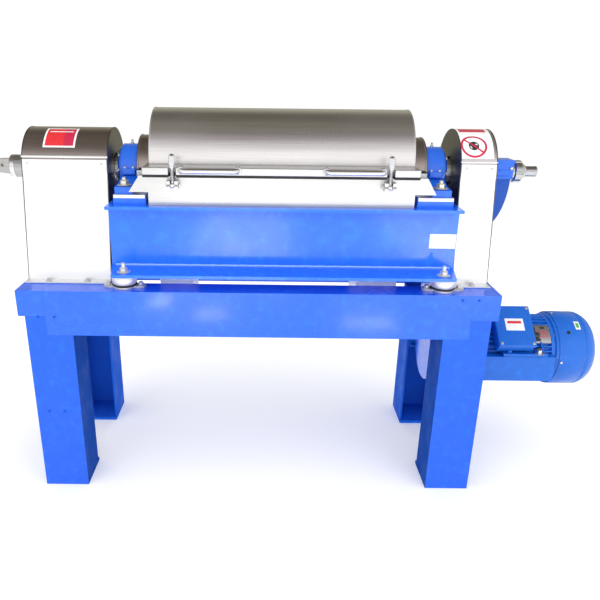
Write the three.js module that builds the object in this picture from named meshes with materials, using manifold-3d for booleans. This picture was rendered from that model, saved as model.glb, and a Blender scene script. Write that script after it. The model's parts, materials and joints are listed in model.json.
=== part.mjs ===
// Decanter centrifuge on a welded stand: a horizontal bowl with a screw conveyor inside, driven by belts.
// Millimetres, +Z up. X runs along the bowl from the gearbox end to the feed end,
// -Y is the operator's side.
import * as THREE from 'three';
import { mergeVertices } from 'three/addons/utils/BufferGeometryUtils.js';
import Module from 'manifold-3d';

const wasm = await Module();
wasm.setup();

// ---------------------------------------------------------------- driving dimensions
const GAP = 0.3; // clearance between pieces that touch
const SPIN_GAP = 1; // radial clearance between pieces that turn inside one another
const OVERLAP = 2; // how far pieces of one welded part run into each other
const PAST = 1; // how far a cutting shape runs past the surface it cuts
const FAR = 2000; // a size beyond the whole machine, for shapes that keep or cut everything on one side
const SEGMENTS = 20; // sides of a round piece

const TABLE = {
  halfLength: 785, halfDepth: 297.5, top: 745, beam: 155, rail: 88, flange: 89, lip: 14, plate: 8,
};
const RAIL_FLANGE = 76;
const BELT_GAP = 170; // half the width left open in the right-hand rail for the belts
const LEG = { outerX: 763, width: 152, depth: 139.2, plate: 8 };
const FOOT = { thick: 12, lip: 14, holeR: 9 };

const AXIS_Z = 1099; // bowl axis
const MOTOR_Z = 434; // motor axis

const FRAME = {
  x0: -491, x1: 650, z0: 793, z1: 1008, webY: 189, topY: 237, footY: 305, plate: 10, mitre: 22,
  holeR: 75, holeZ: 900,
};
const DAMPER = {
  xs: [-440, 605], y: 244, cup: 41, neck: 35, ear: 17, baseHalf: 70, baseThick: 8, ringTop: 14, hole: 5.5,
  shoulderX: 34, sideX: 22, sideY: 32,
};

const LID = {
  x0: -355, x1: 496, r: 162, z: 1137, split: 1114, flangeX0: -365, flangeX1: 500, flangeY: 239, wall: 4,
};
const COLLAR = { r: 110, bore: 100, x0: -407, x1: 552 };
const CASING = { rimTop: 1104, rimBottom: 1052, seat: 1008, rimY: 215, bodyY: 205, boreR: 160, wall: 8 };
const APRON = { topX: [-380, 530], bottomX: [-415, 561], innerY: 190 };
const GASKET = { inset: 4, frame: 12, sealR: 64, sealWidth: 10, sealInset: 2 };
const CHUTES = { solids: [-350, -235], liquid: [345, 487], halfDepth: 90, bottom: 640, top: 1019, wall: 4 };
const CLAMP = {
  xs: [-272, 408], y: -232, pivotZ: 1078, pinR: 4, pinHalf: 20, eyeR: 9, eyeHalf: 6, boltR: 5,
  nutR: 10.5, nutTop: 1174, slot: 24, lugX: [7, 18.5], lugZ: [1066, 1092], lugReach: 12,
};
const HANDLES = [[-242, -68], [208, 382]];
const HANDLE = { r: 7, z: 1126, reach: -262, bend: 14 };
const LID_HINGE = {
  y: 254, z: 1123, pinR: 6, pinPast: 3, eyeR: 13, xs: [-180, 320], length: 90, strap: 5, post: 6,
  postZ: 1065, postFoot: 14,
};

const JOURNAL_R = 40;
const BEARING = { inner: JOURNAL_R + SPIN_GAP, outer: 60, left: [-462, -412], right: [560, 612] };
const BLOCK = {
  left: [-466, -410], right: [556, 617], r: 80, footY: 188, seat: 1040, toe: 22, heel: 26, toeLength: 55,
  archHalf: 46, archFoot: 58, flank: Math.PI * 0.06, coverR: 72, coverBore: 45, coverDepth: 16,
};
const SADDLE = {
  left: [-470, -366], right: [508, 624], halfDepth: 198, step: 8, z0: 1008, z1: 1031, clear: 5,
};

const GUARD = { z: 1099, footHalf: 190, lipHalf: 224, lip: 5, joint: 1140, wall: 3 };
const GEAR_GUARD = { x0: -778, x1: -497, r: 133, leftHole: 32, rightHole: 50 };
const BELT_GUARD = { x0: 652, x1: 772, r: 140, leftHole: 50, rightHole: 22 };
const LOWER_GUARD = { x0: 636, x1: 708, r: 128, hole: 40 };

const BOWL = {
  x0: -330, cone: -60, x1: 440, r: 118, rSmall: 70, wall: 8, portStart: 12, portEnd: 38, portHalf: 12,
};
const HUB = {
  left: -520, right: 702, neckR: 60, leftNeck: -385, rightNeck: 530, feedBore: 30, weirs: 4, weirR: 11,
  weirAt: 88,
};
const HUB_FLANGE = { left: 15, right: 25 };
const GEARBOX = {
  x0: -735, x1: -520, r: 100, chamfer: 20, wall: 18, end: 12, lidX: -722, bore: 26, faceX: -540,
};
const CARRIER = { x0: -596, x1: -574, r: 74, pins: 3, pinR: 8, pinEnd: -650, pinAt: 52 };
const PINION = { x0: -856, x1: -610, r: 16, gearR: 24, gearX: -700 };
const SCREW = { x0: -290, x1: 425, core: 50, pitch: 110, thick: 6, stepsPerTurn: 12, tip: 2, root: 3 };
const SCREW_SHAFT = { solidTo: -100, feedR: 22, endR: 30, endLength: 100, port: [-60, -20], portHalf: 10 };
const DRIVE_R = 20; // conveyor drive shaft and motor shaft
const FEED_TUBE = { x0: -90, x1: 955, r: 19, bore: 15, nutEnd: 914, nutR: 38.5 };
const FEED_BLOCK = {
  x1: 866, halfDepth: 34, bottom: 900, z0: 1077, z1: 1141, gussetInset: 6, gussetX: 8, gussetBow: 70,
};
const TORQUE_ARM = {
  tip: -921, x1: -850, taperX: -858, z: [-27, 26], tipZ: [-18, 24], halfDepth: 12, collarR: 38.5,
};
const ARM_HOLE = { x: -890, r: 6, lift: 4 };

const PULLEY = { x0: 658, x1: 700, grooves: [669, 689], groove: 14.8, depth: 11 };
const BOWL_PULLEY_R = 58;
const MOTOR_PULLEY_R = 112;
const BELT = { width: 14, thick: 9, lift: 1 };

const MOTOR = {
  shield0: 800, shieldStep: 14, shieldR: 84, body0: 835, body1: 1071, cap0: 1095, cap1: 1241, r: 126,
  capR: 138, core: 112, fins: 20, finTaper: 0.7, bore: 80, endR: 122, spigot: 10, spigotR: 90,
  footX: [880, 1040], footY: 100, footThick: 12, bearingStep: 6, windingSpace: 30,
};
const FAN = { start: 26, end: 60, hubR: 36, bladeR: 100, bladeRoot: 30, blades: 6, thick: 5 };
const FAN_COVER = { wall: 3, dome: 26, shoulder: 34, eyeR: 20, faceR: 62 };
const MOTOR_ARM = { x0: 620, x1: 1070, outerY: 158, flange: 27, z0: 368, z1: 463.5, plate: 6 };
const TERMINAL_BOX = {
  x0: 853, x1: 988, tilt: 49.5, face: 176, seat: 127, half: 82, seatHalf: 50, glandR: 11, gland: 26,
};

// the box that encloses the whole machine reaches from the torque arm's tip to the fan cover
const MID_X = (TORQUE_ARM.tip + MOTOR.cap1) / 2;

// ---------------------------------------------------------------- materials
const paint = () => new THREE.MeshStandardMaterial({ color: 0x1f5fe8, roughness: 0.3, metalness: 0.1 });
const motorPaint = () =>
  new THREE.MeshStandardMaterial({ color: 0x1768cf, roughness: 0.4, metalness: 0.1 });
const stainless = () => new THREE.MeshStandardMaterial({ color: 0xc9c9c6, roughness: 0.3, metalness: 0.9 });
const polished = () => new THREE.MeshStandardMaterial({ color: 0xd8d8d8, roughness: 0.15, metalness: 1 });
const zinc = () => new THREE.MeshStandardMaterial({ color: 0xb8b8b2, roughness: 0.45, metalness: 0.8 });
const iron = () => new THREE.MeshStandardMaterial({ color: 0x5a5a5c, roughness: 0.6, metalness: 0.7 });
const rubber = () => new THREE.MeshStandardMaterial({ color: 0x1a1a1a, roughness: 0.9, metalness: 0 });

// ---------------------------------------------------------------- shape helpers
const machine = new THREE.Group();
const assembly = new THREE.Group();
assembly.position.x = -MID_X;
machine.add(assembly);

function addPart(name, geometry, material) {
  const mesh = new THREE.Mesh(geometry, material);
  mesh.name = name;
  assembly.add(mesh);
  return mesh;
}

function toSolid(geometry) {
  const bare = geometry.clone();
  bare.deleteAttribute('normal');
  bare.deleteAttribute('uv');
  const merged = mergeVertices(bare, 1e-3);
  return new wasm.Manifold(new wasm.Mesh({
    numProp: 3,
    vertProperties: new Float32Array(merged.attributes.position.array),
    triVerts: new Uint32Array(merged.index.array),
  }));
}

function toGeometry(solid) {
  const mesh = solid.getMesh();
  const geometry = new THREE.BufferGeometry();
  geometry.setAttribute('position', new THREE.BufferAttribute(mesh.vertProperties, 3));
  geometry.setIndex(new THREE.BufferAttribute(mesh.triVerts, 1));
  geometry.computeVertexNormals();
  return geometry;
}

const join = (first, ...rest) =>
  toGeometry(rest.reduce((sum, next) => sum.add(toSolid(next)), toSolid(first)));
const cut = (first, ...rest) =>
  toGeometry(rest.reduce((sum, next) => sum.subtract(toSolid(next)), toSolid(first)));
const clip = (first, second) => toGeometry(toSolid(first).intersect(toSolid(second)));

function box(x0, x1, y0, y1, z0, z1) {
  const geometry = new THREE.BoxGeometry(x1 - x0, y1 - y0, z1 - z0);
  return geometry.translate((x0 + x1) / 2, (y0 + y1) / 2, (z0 + z1) / 2);
}

function outline(points) {
  return new THREE.Shape(points.map(([a, b]) => new THREE.Vector2(a, b)));
}

// extrudes a shape drawn in (y, z) along X
function alongX(shape, x0, x1, curveSegments = SEGMENTS / 2) {
  const geometry = new THREE.ExtrudeGeometry(shape, { depth: x1 - x0, bevelEnabled: false, curveSegments });
  const basis = new THREE.Matrix4().makeBasis(
    new THREE.Vector3(0, 1, 0), new THREE.Vector3(0, 0, 1), new THREE.Vector3(1, 0, 0));
  return geometry.applyMatrix4(basis).translate(x0, 0, 0);
}

// extrudes a shape drawn in (x, y) upwards
function alongZ(shape, z0, z1, curveSegments = SEGMENTS / 2) {
  const geometry = new THREE.ExtrudeGeometry(shape, { depth: z1 - z0, bevelEnabled: false, curveSegments });
  return geometry.translate(0, 0, z0);
}

// extrudes a shape drawn in (x, z) along Y
function alongY(shape, y0, y1, curveSegments = SEGMENTS / 2) {
  const geometry = new THREE.ExtrudeGeometry(shape, { depth: y1 - y0, bevelEnabled: false, curveSegments });
  return geometry.rotateX(Math.PI / 2).translate(0, y1, 0);
}

function cylinderX(r, x0, x1, z = AXIS_Z, y = 0, segments = SEGMENTS) {
  const geometry = new THREE.CylinderGeometry(r, r, x1 - x0, segments);
  return geometry.rotateZ(-Math.PI / 2).translate((x0 + x1) / 2, y, z);
}

function cylinderZ(r, z0, z1, x, y, segments = SEGMENTS) {
  return new THREE.CylinderGeometry(r, r, z1 - z0, segments).rotateX(Math.PI / 2).translate(x, y,
    (z0 + z1) / 2);
}

function cylinderY(r, y0, y1, x, z, segments = SEGMENTS) {
  return new THREE.CylinderGeometry(r, r, y1 - y0, segments).translate(x, (y0 + y1) / 2, z);
}

// turns a closed (x, r) profile about an axis along X; it runs anticlockwise with x right and r up
function turned(profile, z = AXIS_Z, segments = SEGMENTS) {
  const points = [...profile, profile[0]].reverse().map(([x, r]) => new THREE.Vector2(r, x));
  return new THREE.LatheGeometry(points, segments).rotateZ(-Math.PI / 2).translate(0, 0, z);
}

const ring = (x0, x1, inner, outer, z = AXIS_Z) =>
  turned([[x0, inner], [x1, inner], [x1, outer], [x0, outer]], z);

// an open-ended space for cutting: everything between two heights, from one X to another
const slab = (x0, x1, z0, z1) => box(x0, x1, -FAR, FAR, z0, z1);

// ---------------------------------------------------------------- stand
// the rear right leg: a channel open towards the middle, notched under the beam and the rail,
// on a foot plate
function buildLeg() {
  const { outerX, width, depth, plate } = LEG;
  const innerY = TABLE.halfDepth - depth;
  const x0 = outerX - width;
  const channel = alongZ(outline([
    [x0, innerY], [x0 + plate, innerY], [x0 + plate, TABLE.halfDepth - plate],
    [outerX - plate, TABLE.halfDepth - plate], [outerX - plate, innerY], [outerX, innerY],
    [outerX, TABLE.halfDepth], [x0, TABLE.halfDepth],
  ]), FOOT.thick - OVERLAP, TABLE.top - TABLE.rail - GAP);
  const foot = box(x0, outerX, innerY - FOOT.lip, TABLE.halfDepth, 0, FOOT.thick);
  const underBeam = box(x0 - PAST, TABLE.halfLength - TABLE.flange + GAP, 0, FAR,
    TABLE.top - TABLE.beam - GAP, TABLE.top);
  const anchor = cylinderZ(FOOT.holeR, -PAST, FOOT.thick + PAST, x0 + width / 2, innerY + depth / 2, 12);
  return cut(join(channel, foot), underBeam, anchor);
}

// web on the outside, with a wide flange turned in at the top and a narrow lip at the bottom
function buildBeam() {
  const { halfDepth: y1, top, beam, flange, lip, plate } = TABLE;
  const reach = TABLE.halfLength - TABLE.flange;
  const profile = outline([
    [y1, top - beam], [y1, top], [y1 - flange, top], [y1 - flange, top - plate], [y1 - plate, top - plate],
    [y1 - plate, top - beam + plate], [y1 - lip, top - beam + plate], [y1 - lip, top - beam],
  ]);
  return alongX(profile, -reach, reach);
}

// the right-hand rail, with its top and bottom flanges turned in and cut back where the belts pass
function buildRail() {
  const { halfLength: x1, top, rail, plate, halfDepth } = TABLE;
  const x0 = x1 - TABLE.flange + GAP;
  const outer = box(x0, x1, -halfDepth, halfDepth, top - rail, top);
  const hollow = box(x0 - PAST, x1 - plate, -halfDepth + plate, halfDepth - plate, top - rail + plate,
    top - plate);
  const beltGap = box(x0 - PAST, x1 - RAIL_FLANGE, -BELT_GAP, BELT_GAP, top - rail - PAST, top + PAST);
  return cut(outer, hollow, beltGap);
}

const SIDES = [['front', -1], ['rear', 1]];
const ENDS = [['left', -1], ['right', 1]];
for (const [sideName, side] of SIDES) {
  for (const [endName, end] of ENDS) {
    addPart(`leg_${sideName}_${endName}`, buildLeg(), paint()).scale.set(end, side, 1);
  }
  addPart(`stand_beam_${sideName}`, buildBeam(), paint()).scale.y = side;
}
for (const [endName, end] of ENDS) addPart(`stand_rail_${endName}`, buildRail(), paint()).scale.x = end;

// ---------------------------------------------------------------- vibration dampers
function buildDamper(x, y) {
  const z0 = TABLE.top + GAP;
  const z1 = z0 + DAMPER.baseThick;
  const { ear, shoulderX, sideX, sideY } = DAMPER;
  const waist = DAMPER.baseHalf - ear;
  const plan = outline([
    [x - shoulderX, y - ear], [x - sideX, y - sideY], [x + sideX, y - sideY], [x + shoulderX, y - ear],
  ]);
  plan.absarc(x + waist, y, ear, -Math.PI / 2, Math.PI / 2, false);
  plan.lineTo(x + shoulderX, y + ear);
  plan.lineTo(x + sideX, y + sideY);
  plan.lineTo(x - sideX, y + sideY);
  plan.lineTo(x - shoulderX, y + ear);
  plan.absarc(x - waist, y, ear, Math.PI / 2, (3 * Math.PI) / 2, false);
  const plate = alongZ(plan, z0, z1, 3);
  const neck = cylinderZ(DAMPER.neck, z1 - OVERLAP, z0 + DAMPER.ringTop + OVERLAP, x, y, 16);
  const cup = cylinderZ(DAMPER.cup, z0 + DAMPER.ringTop, FRAME.z0 - GAP, x, y, 16);
  const holes = [-waist, waist].map((dx) => cylinderZ(DAMPER.hole, z0 - PAST, z1 + PAST, x + dx, y, 8));
  return cut(join(plate, neck, cup), ...holes);
}

ENDS.forEach(([endName], i) => {
  for (const [sideName, side] of SIDES) {
    addPart(`damper_${sideName}_${endName}`, buildDamper(DAMPER.xs[i], side * DAMPER.y), zinc());
  }
});

// ---------------------------------------------------------------- main frame
// the rear side of the frame: a web with a top flange and a wider foot flange whose ends are mitred
function buildFrameBeam() {
  const { z0, z1, webY, topY, footY, plate, x0, x1, mitre } = FRAME;
  const profile = outline([
    [webY - plate, z0], [footY, z0], [footY, z0 + plate], [webY, z0 + plate],
    [webY, z1 - plate], [topY, z1 - plate], [topY, z1], [webY - plate, z1],
  ]);
  const corner = (x, run) => alongZ(outline([[x, webY + OVERLAP], [x + run, footY + PAST],
    [x, footY + PAST]]),
    z0 - PAST, z0 + plate + PAST);
  return cut(alongX(profile, x0, x1), corner(x0 - PAST, mitre), corner(x1 + PAST, -mitre));
}

function buildFrameEnd(x0, x1) {
  const inner = FRAME.webY - FRAME.plate - GAP;
  const plate = box(x0, x1, -inner, inner, FRAME.z0, FRAME.z1 - GAP);
  return cut(plate, cylinderX(FRAME.holeR, x0 - PAST, x1 + PAST, FRAME.holeZ, 0, 24));
}

for (const [name, side] of SIDES) addPart(`frame_beam_${name}`, buildFrameBeam(), paint()).scale.y = side;
addPart('frame_end_left', buildFrameEnd(FRAME.x0, FRAME.x0 + FRAME.plate), paint());
addPart('frame_end_right', buildFrameEnd(FRAME.x1 - FRAME.plate, FRAME.x1), paint());

// ---------------------------------------------------------------- pillow blocks and saddles
// a slab under each pillow block, forked round the casing's collar
function buildSaddle([x0, x1], block) {
  const { halfDepth, step, z0, z1, clear } = SADDLE;
  const atRight = block[0] > 0;
  const body = box(x0, x1, -halfDepth, halfDepth, z0 + GAP, BLOCK.seat - GAP);
  const outside = box(x0 - PAST, x1 + PAST, halfDepth - step, FAR, z1, FAR);
  const opposite = box(x0 - PAST, x1 + PAST, -FAR, step - halfDepth, z1, FAR);
  const underBlock = cylinderX(BLOCK.r + clear, x0 - PAST, x1 + PAST);
  const collarSpan = atRight ? [x0 - PAST, COLLAR.x1 + PAST] : [COLLAR.x0 - PAST, x1 + PAST];
  const casingSpan = atRight ? [x0 - PAST, LID.x1 + PAST] : [LID.x0 - PAST, x1 + PAST];
  return cut(body, outside, opposite, underBlock, cylinderX(COLLAR.r + clear, ...collarSpan),
    slab(...casingSpan, z0 - PAST, AXIS_Z));
}

// a bored casting on two feet, with a bearing cover on the side of the nearest guard
function buildPillowBlock([x0, x1]) {
  const { r, footY, seat, toe, heel, toeLength, archHalf, archFoot, flank } = BLOCK;
  const { coverR, coverBore, coverDepth } = BLOCK;
  const archAngle = Math.acos(archHalf / r);
  const shape = outline([[-footY, seat], [-archFoot, seat], [-archHalf, AXIS_Z - r * Math.sin(archAngle)]]);
  shape.absarc(0, AXIS_Z, r, Math.PI + archAngle, -archAngle, false);
  shape.lineTo(archFoot, seat);
  shape.lineTo(footY, seat);
  shape.lineTo(footY, seat + toe);
  shape.lineTo(footY - toeLength, seat + heel);
  shape.lineTo(r * Math.cos(flank), AXIS_Z - r * Math.sin(flank));
  shape.absarc(0, AXIS_Z, r, -flank, Math.PI + flank, false);
  shape.lineTo(toeLength - footY, seat + heel);
  shape.lineTo(-footY, seat + toe);
  const body = cut(alongX(shape, x0, x1, 14), cylinderX(BEARING.outer + GAP, x0 - PAST, x1 + PAST));
  const coverSpan = x0 > 0 ? [x1 - OVERLAP, x1 + coverDepth] : [x0 - coverDepth, x0 + OVERLAP];
  return join(body, ring(...coverSpan, coverBore, coverR));
}

const supports = [
  ['left', SADDLE.left, BLOCK.left, BEARING.left],
  ['right', SADDLE.right, BLOCK.right, BEARING.right],
];
for (const [name, saddle, block, bearing] of supports) {
  addPart(`bearing_saddle_${name}`, buildSaddle(saddle, block), paint());
  addPart(`pillow_block_${name}`, buildPillowBlock(block), paint());
  addPart(`bearing_${name}`, ring(bearing[0], bearing[1], BEARING.inner, BEARING.outer), polished());
}

// ---------------------------------------------------------------- casing, chutes and gasket
// one hinge ear: an eye on the pin's line, with a strap to the lid or a post down to the casing's rim
function hingeEar(x0, x1, onLid) {
  const { y, z, eyeR, strap, post, postZ, postFoot } = LID_HINGE;
  const eye = cylinderX(eyeR, x0, x1, z, y);
  if (onLid) return [eye, box(x0, x1, LID.flangeY - OVERLAP, y, z - strap, z + strap)];
  return [eye, box(x0, x1, y - post, y + post, postZ, z),
    box(x0, x1, CASING.rimY - OVERLAP, y + post, postZ, postZ + postFoot)];
}

const hingePinHole = (x) =>
  cylinderX(LID_HINGE.pinR + GAP, x - LID_HINGE.length, x + LID_HINGE.length, LID_HINGE.z, LID_HINGE.y, 16);

function casingHingeEars(x) {
  const half = LID_HINGE.length / 2;
  const eye = LID_HINGE.length / 6;
  return [...hingeEar(x - half, x - eye - GAP, false), ...hingeEar(x + eye + GAP, x + half, false)];
}

// the two cheeks that hold a clamp's pin
function clampLugs(x) {
  const { lugX, lugZ, lugReach, y } = CLAMP;
  return [-1, 1].map((side) => {
    const span = lugX.map((reach) => x + side * reach).sort((a, b) => a - b);
    return box(...span, y - lugReach, OVERLAP - CASING.rimY, ...lugZ);
  });
}

// the rim's two side walls, which run on past the body in front of and behind the pillow blocks
function buildAprons() {
  const { topX, bottomX, innerY } = APRON;
  const { rimTop, rimBottom, rimY } = CASING;
  const side = outline([[bottomX[0], rimBottom], [bottomX[1], rimBottom], [topX[1], rimTop],
    [topX[0], rimTop]]);
  return [alongY(side, -rimY, -innerY), alongY(side, innerY, rimY)];
}

function buildLowerCasing() {
  const { rimTop, rimBottom, seat, rimY, bodyY, boreR, wall } = CASING;
  const body = box(LID.x0, LID.x1, -bodyY, bodyY, seat + GAP, rimBottom + OVERLAP);
  const rim = box(LID.x0, LID.x1, -rimY, rimY, rimBottom, rimTop);
  const trough = clip(cylinderX(boreR + wall, LID.x0, LID.x1), slab(LID.x0, LID.x1, 0, seat + wall));
  const collars = clip(cylinderX(COLLAR.r, COLLAR.x0, COLLAR.x1), slab(-FAR, FAR, 0, rimTop));
  const lugs = [...LID_HINGE.xs.flatMap(casingHingeEars), ...CLAMP.xs.flatMap(clampLugs)];
  const inside = cylinderX(boreR, LID.x0 + wall, LID.x1 - wall);
  const bore = cylinderX(COLLAR.bore, COLLAR.x0 - PAST, COLLAR.x1 + PAST);
  const reach = CHUTES.halfDepth - CHUTES.wall;
  const outlets = [CHUTES.solids, CHUTES.liquid].map(([x0, x1]) =>
    box(x0 + CHUTES.wall, x1 - CHUTES.wall, -reach, reach, 0, AXIS_Z));
  const pivots = CLAMP.xs.map((x) =>
    cylinderX(CLAMP.pinR + GAP, x - CLAMP.slot, x + CLAMP.slot, CLAMP.pivotZ, CLAMP.y, 12));
  return cut(join(body, rim, trough, collars, ...buildAprons(), ...lugs), inside, bore, ...outlets,
    ...pivots,
    ...LID_HINGE.xs.map(hingePinHole));
}

function buildChute([x0, x1]) {
  const { halfDepth, bottom, top, wall } = CHUTES;
  const reach = halfDepth - wall;
  const outer = box(x0, x1, -halfDepth, halfDepth, bottom, top);
  const inner = box(x0 + wall, x1 - wall, -reach, reach, bottom - PAST, FAR);
  return cut(outer, inner, cylinderX(CASING.boreR + CASING.wall + GAP, x0 - PAST, x1 + PAST));
}

// two strips along the split, tied together at each end by the ring seal in the collar
function buildGasket() {
  const { rimTop, rimY, boreR } = CASING;
  const { inset, frame, sealR, sealWidth, sealInset } = GASKET;
  const z = [rimTop + GAP, LID.split - GAP];
  const strips = join(box(LID.x0, LID.x1, inset - rimY, rimY - inset, ...z),
    box(COLLAR.x0, COLLAR.x1, -COLLAR.r, COLLAR.r, ...z));
  const opening = box(LID.x0 + frame, LID.x1 - frame, -boreR, boreR, rimTop, LID.split);
  const bore = cylinderX(COLLAR.bore - OVERLAP, COLLAR.x0 - PAST, COLLAR.x1 + PAST);
  const seals = [COLLAR.x0 + sealInset, COLLAR.x1 - sealInset - sealWidth].map((x) =>
    ring(x, x + sealWidth, sealR, COLLAR.bore - GAP));
  return join(cut(strips, opening, bore), ...seals);
}

addPart('lower_casing', buildLowerCasing(), stainless());
addPart('solids_chute', buildChute(CHUTES.solids), stainless());
addPart('liquid_chute', buildChute(CHUTES.liquid), stainless());
addPart('casing_gasket', buildGasket(), rubber());
LID_HINGE.xs.forEach((x, i) => {
  const reach = LID_HINGE.length / 2 + LID_HINGE.pinPast;
  const pin = cylinderX(LID_HINGE.pinR, x - reach, x + reach, LID_HINGE.z, LID_HINGE.y, 16);
  addPart(`lid_hinge_pin_${['left', 'right'][i]}`, pin, polished());
});

// ---------------------------------------------------------------- lid with its handles
// a half round on straight sides that run down to the bottom
function lidOutline(r, bottom) {
  const shape = outline([[-r, bottom], [r, bottom]]);
  shape.absarc(0, LID.z, r, 0, Math.PI, false);
  return shape;
}

function buildLid() {
  const { x0, x1, r, z, split, flangeX0, flangeX1, flangeY, wall } = LID;
  const dome = alongX(lidOutline(r, split), x0, x1, 28);
  const flange = box(flangeX0, flangeX1, -flangeY, flangeY, split, z);
  const hollow = alongX(lidOutline(r - wall, split - PAST), x0 + wall, x1 - wall, 28);
  const collars = clip(cylinderX(COLLAR.r, COLLAR.x0, COLLAR.x1), slab(-FAR, FAR, split, FAR));
  const bore = cylinderX(COLLAR.bore, COLLAR.x0 - PAST, COLLAR.x1 + PAST);
  const slots = CLAMP.xs.map((x) => box(x - CLAMP.slot / 2, x + CLAMP.slot / 2,
    -flangeY - PAST, CLAMP.y + CLAMP.slot / 2, split - PAST, z + PAST));
  const shell = cut(join(dome, flange, collars), hollow, bore, ...slots);
  const eye = LID_HINGE.length / 6;
  const leaves = LID_HINGE.xs.flatMap((x) => hingeEar(x - eye, x + eye, true));
  return cut(join(shell, ...leaves), ...LID_HINGE.xs.map(hingePinHole));
}

// a bar along the front of the lid, its two ends turned back to the flange
function buildHandle([x0, x1]) {
  const back = -LID.flangeY - GAP;
  const { reach, r, bend } = HANDLE;
  const path = new THREE.CurvePath();
  const at = (x, y) => new THREE.Vector3(x, y, HANDLE.z);
  path.add(new THREE.LineCurve3(at(x0, back), at(x0, reach + bend)));
  path.add(new THREE.QuadraticBezierCurve3(at(x0, reach + bend), at(x0, reach), at(x0 + bend, reach)));
  path.add(new THREE.LineCurve3(at(x0 + bend, reach), at(x1 - bend, reach)));
  path.add(new THREE.QuadraticBezierCurve3(at(x1 - bend, reach), at(x1, reach), at(x1, reach + bend)));
  path.add(new THREE.LineCurve3(at(x1, reach + bend), at(x1, back)));
  const rod = new THREE.Shape().absarc(0, 0, r, 0, 2 * Math.PI, false);
  return new THREE.ExtrudeGeometry(rod, { extrudePath: path, steps: 24, curveSegments: 5,
    bevelEnabled: false });
}

addPart('lid', buildLid(), stainless());
HANDLES.forEach((span, i) => addPart(`lid_handle_${['left', 'right'][i]}`, buildHandle(span), polished()));

// ---------------------------------------------------------------- swing clamps at the front
function buildClamp(x) {
  const { y, pivotZ, boltR, nutR, nutTop, pinR, pinHalf, eyeR, eyeHalf } = CLAMP;
  const pin = cylinderX(pinR, x - pinHalf, x + pinHalf, pivotZ, y, 12);
  const eye = cylinderX(eyeR, x - eyeHalf, x + eyeHalf, pivotZ, y, 16);
  const bolt = cylinderZ(boltR, pivotZ, nutTop - OVERLAP, x, y, 12);
  const nut = cylinderZ(nutR, LID.z + GAP, nutTop, x, y, 16);
  return join(pin, eye, bolt, nut);
}

CLAMP.xs.forEach((x, i) => addPart(`clamp_bolt_${['left', 'right'][i]}`, buildClamp(x), polished()));

// ---------------------------------------------------------------- guards over the gearbox and the belts
// a guard's section: straight sides that run into a round top, with a lip along the foot if it is wanted
function guardShape(r, inset, z0, lip) {
  const half = GUARD.footHalf - inset;
  const spread = Math.asin((half - r) / (GUARD.z - TABLE.top) / 2);
  const lipHalf = GUARD.lipHalf;
  const foot = lip > 0
    ? [[-half, z0 + lip], [-lipHalf, z0 + lip], [-lipHalf, z0], [lipHalf, z0], [lipHalf, z0 + lip],
      [half, z0 + lip]]
    : [[-half, z0], [half, z0]];
  const shape = outline(foot);
  shape.absarc(0, GUARD.z, r - inset, -spread, Math.PI + spread, false);
  return shape;
}

// one half of a guard, body or hood, with the round holes that the shafts pass through
function buildGuard({ x0, x1, r, leftHole, rightHole }, part) {
  const z0 = TABLE.top + GAP;
  const wall = GUARD.wall;
  const outer = alongX(guardShape(r, 0, z0, GUARD.lip), x0, x1, 22);
  const inner = alongX(guardShape(r, wall, z0 - PAST, 0), x0 + wall, x1 - wall, 22);
  const holes = [
    cylinderX(leftHole, x0 - PAST, x0 + wall + PAST),
    cylinderX(rightHole, x1 - wall - PAST, x1 + PAST),
  ];
  const lower = slab(x0 - PAST, x1 + PAST, 0, GUARD.joint - GAP / 2);
  const upper = slab(x0 - PAST, x1 + PAST, GUARD.joint + GAP / 2, FAR);
  return clip(cut(outer, inner, ...holes), part === 'hood' ? upper : lower);
}

for (const [name, guard] of [['gearbox', GEAR_GUARD], ['belt', BELT_GUARD]]) {
  for (const part of ['guard', 'hood']) addPart(`${name}_${part}`, buildGuard(guard, part), stainless());
}

// a trough hung under the table round the motor pulley
function buildLowerGuard() {
  const { x0, x1, r, hole } = LOWER_GUARD;
  const wall = GUARD.wall;
  const section = (radius, top) => {
    const shape = outline([[radius, top], [-radius, top]]);
    shape.absarc(0, MOTOR_Z, radius, Math.PI, 2 * Math.PI, false);
    return shape;
  };
  const outer = alongX(section(r, TABLE.top - GAP), x0, x1, 16);
  const inner = alongX(section(r - wall, TABLE.top + PAST), x0 + wall, x1 - wall, 16);
  return cut(outer, inner, cylinderX(hole, x1 - wall - PAST, x1 + PAST, MOTOR_Z, 0, 24));
}

addPart('belt_guard_lower', buildLowerGuard(), paint());

// ---------------------------------------------------------------- rotating bowl
function bowlRadius(x) {
  const share = Math.min(1, Math.max(0, (x - BOWL.x0) / (BOWL.cone - BOWL.x0)));
  return BOWL.rSmall + share * (BOWL.r - BOWL.rSmall);
}

function buildBowlShell() {
  const { x0, cone, x1, r, rSmall, wall, portStart, portEnd, portHalf } = BOWL;
  const shell = turned([
    [x0, rSmall - wall], [cone, r - wall], [x1, r - wall], [x1, r], [cone, r], [x0, rSmall],
  ]);
  const ports = [0, Math.PI / 2].map((angle) => box(x0 + portStart, x0 + portEnd, -portHalf, portHalf,
    -r, r)
    .rotateX(angle).translate(0, 0, AXIS_Z));
  return cut(shell, ...ports);
}

function buildHubLeft() {
  const bore = DRIVE_R + GAP;
  const { left, neckR, leftNeck } = HUB;
  const x1 = BOWL.x0 - GAP;
  return turned([
    [left, bore], [x1, bore], [x1, BOWL.rSmall], [x1 - HUB_FLANGE.left, BOWL.rSmall],
    [x1 - HUB_FLANGE.left, neckR],
    [leftNeck, neckR], [leftNeck, JOURNAL_R], [left, JOURNAL_R],
  ]);
}

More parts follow.
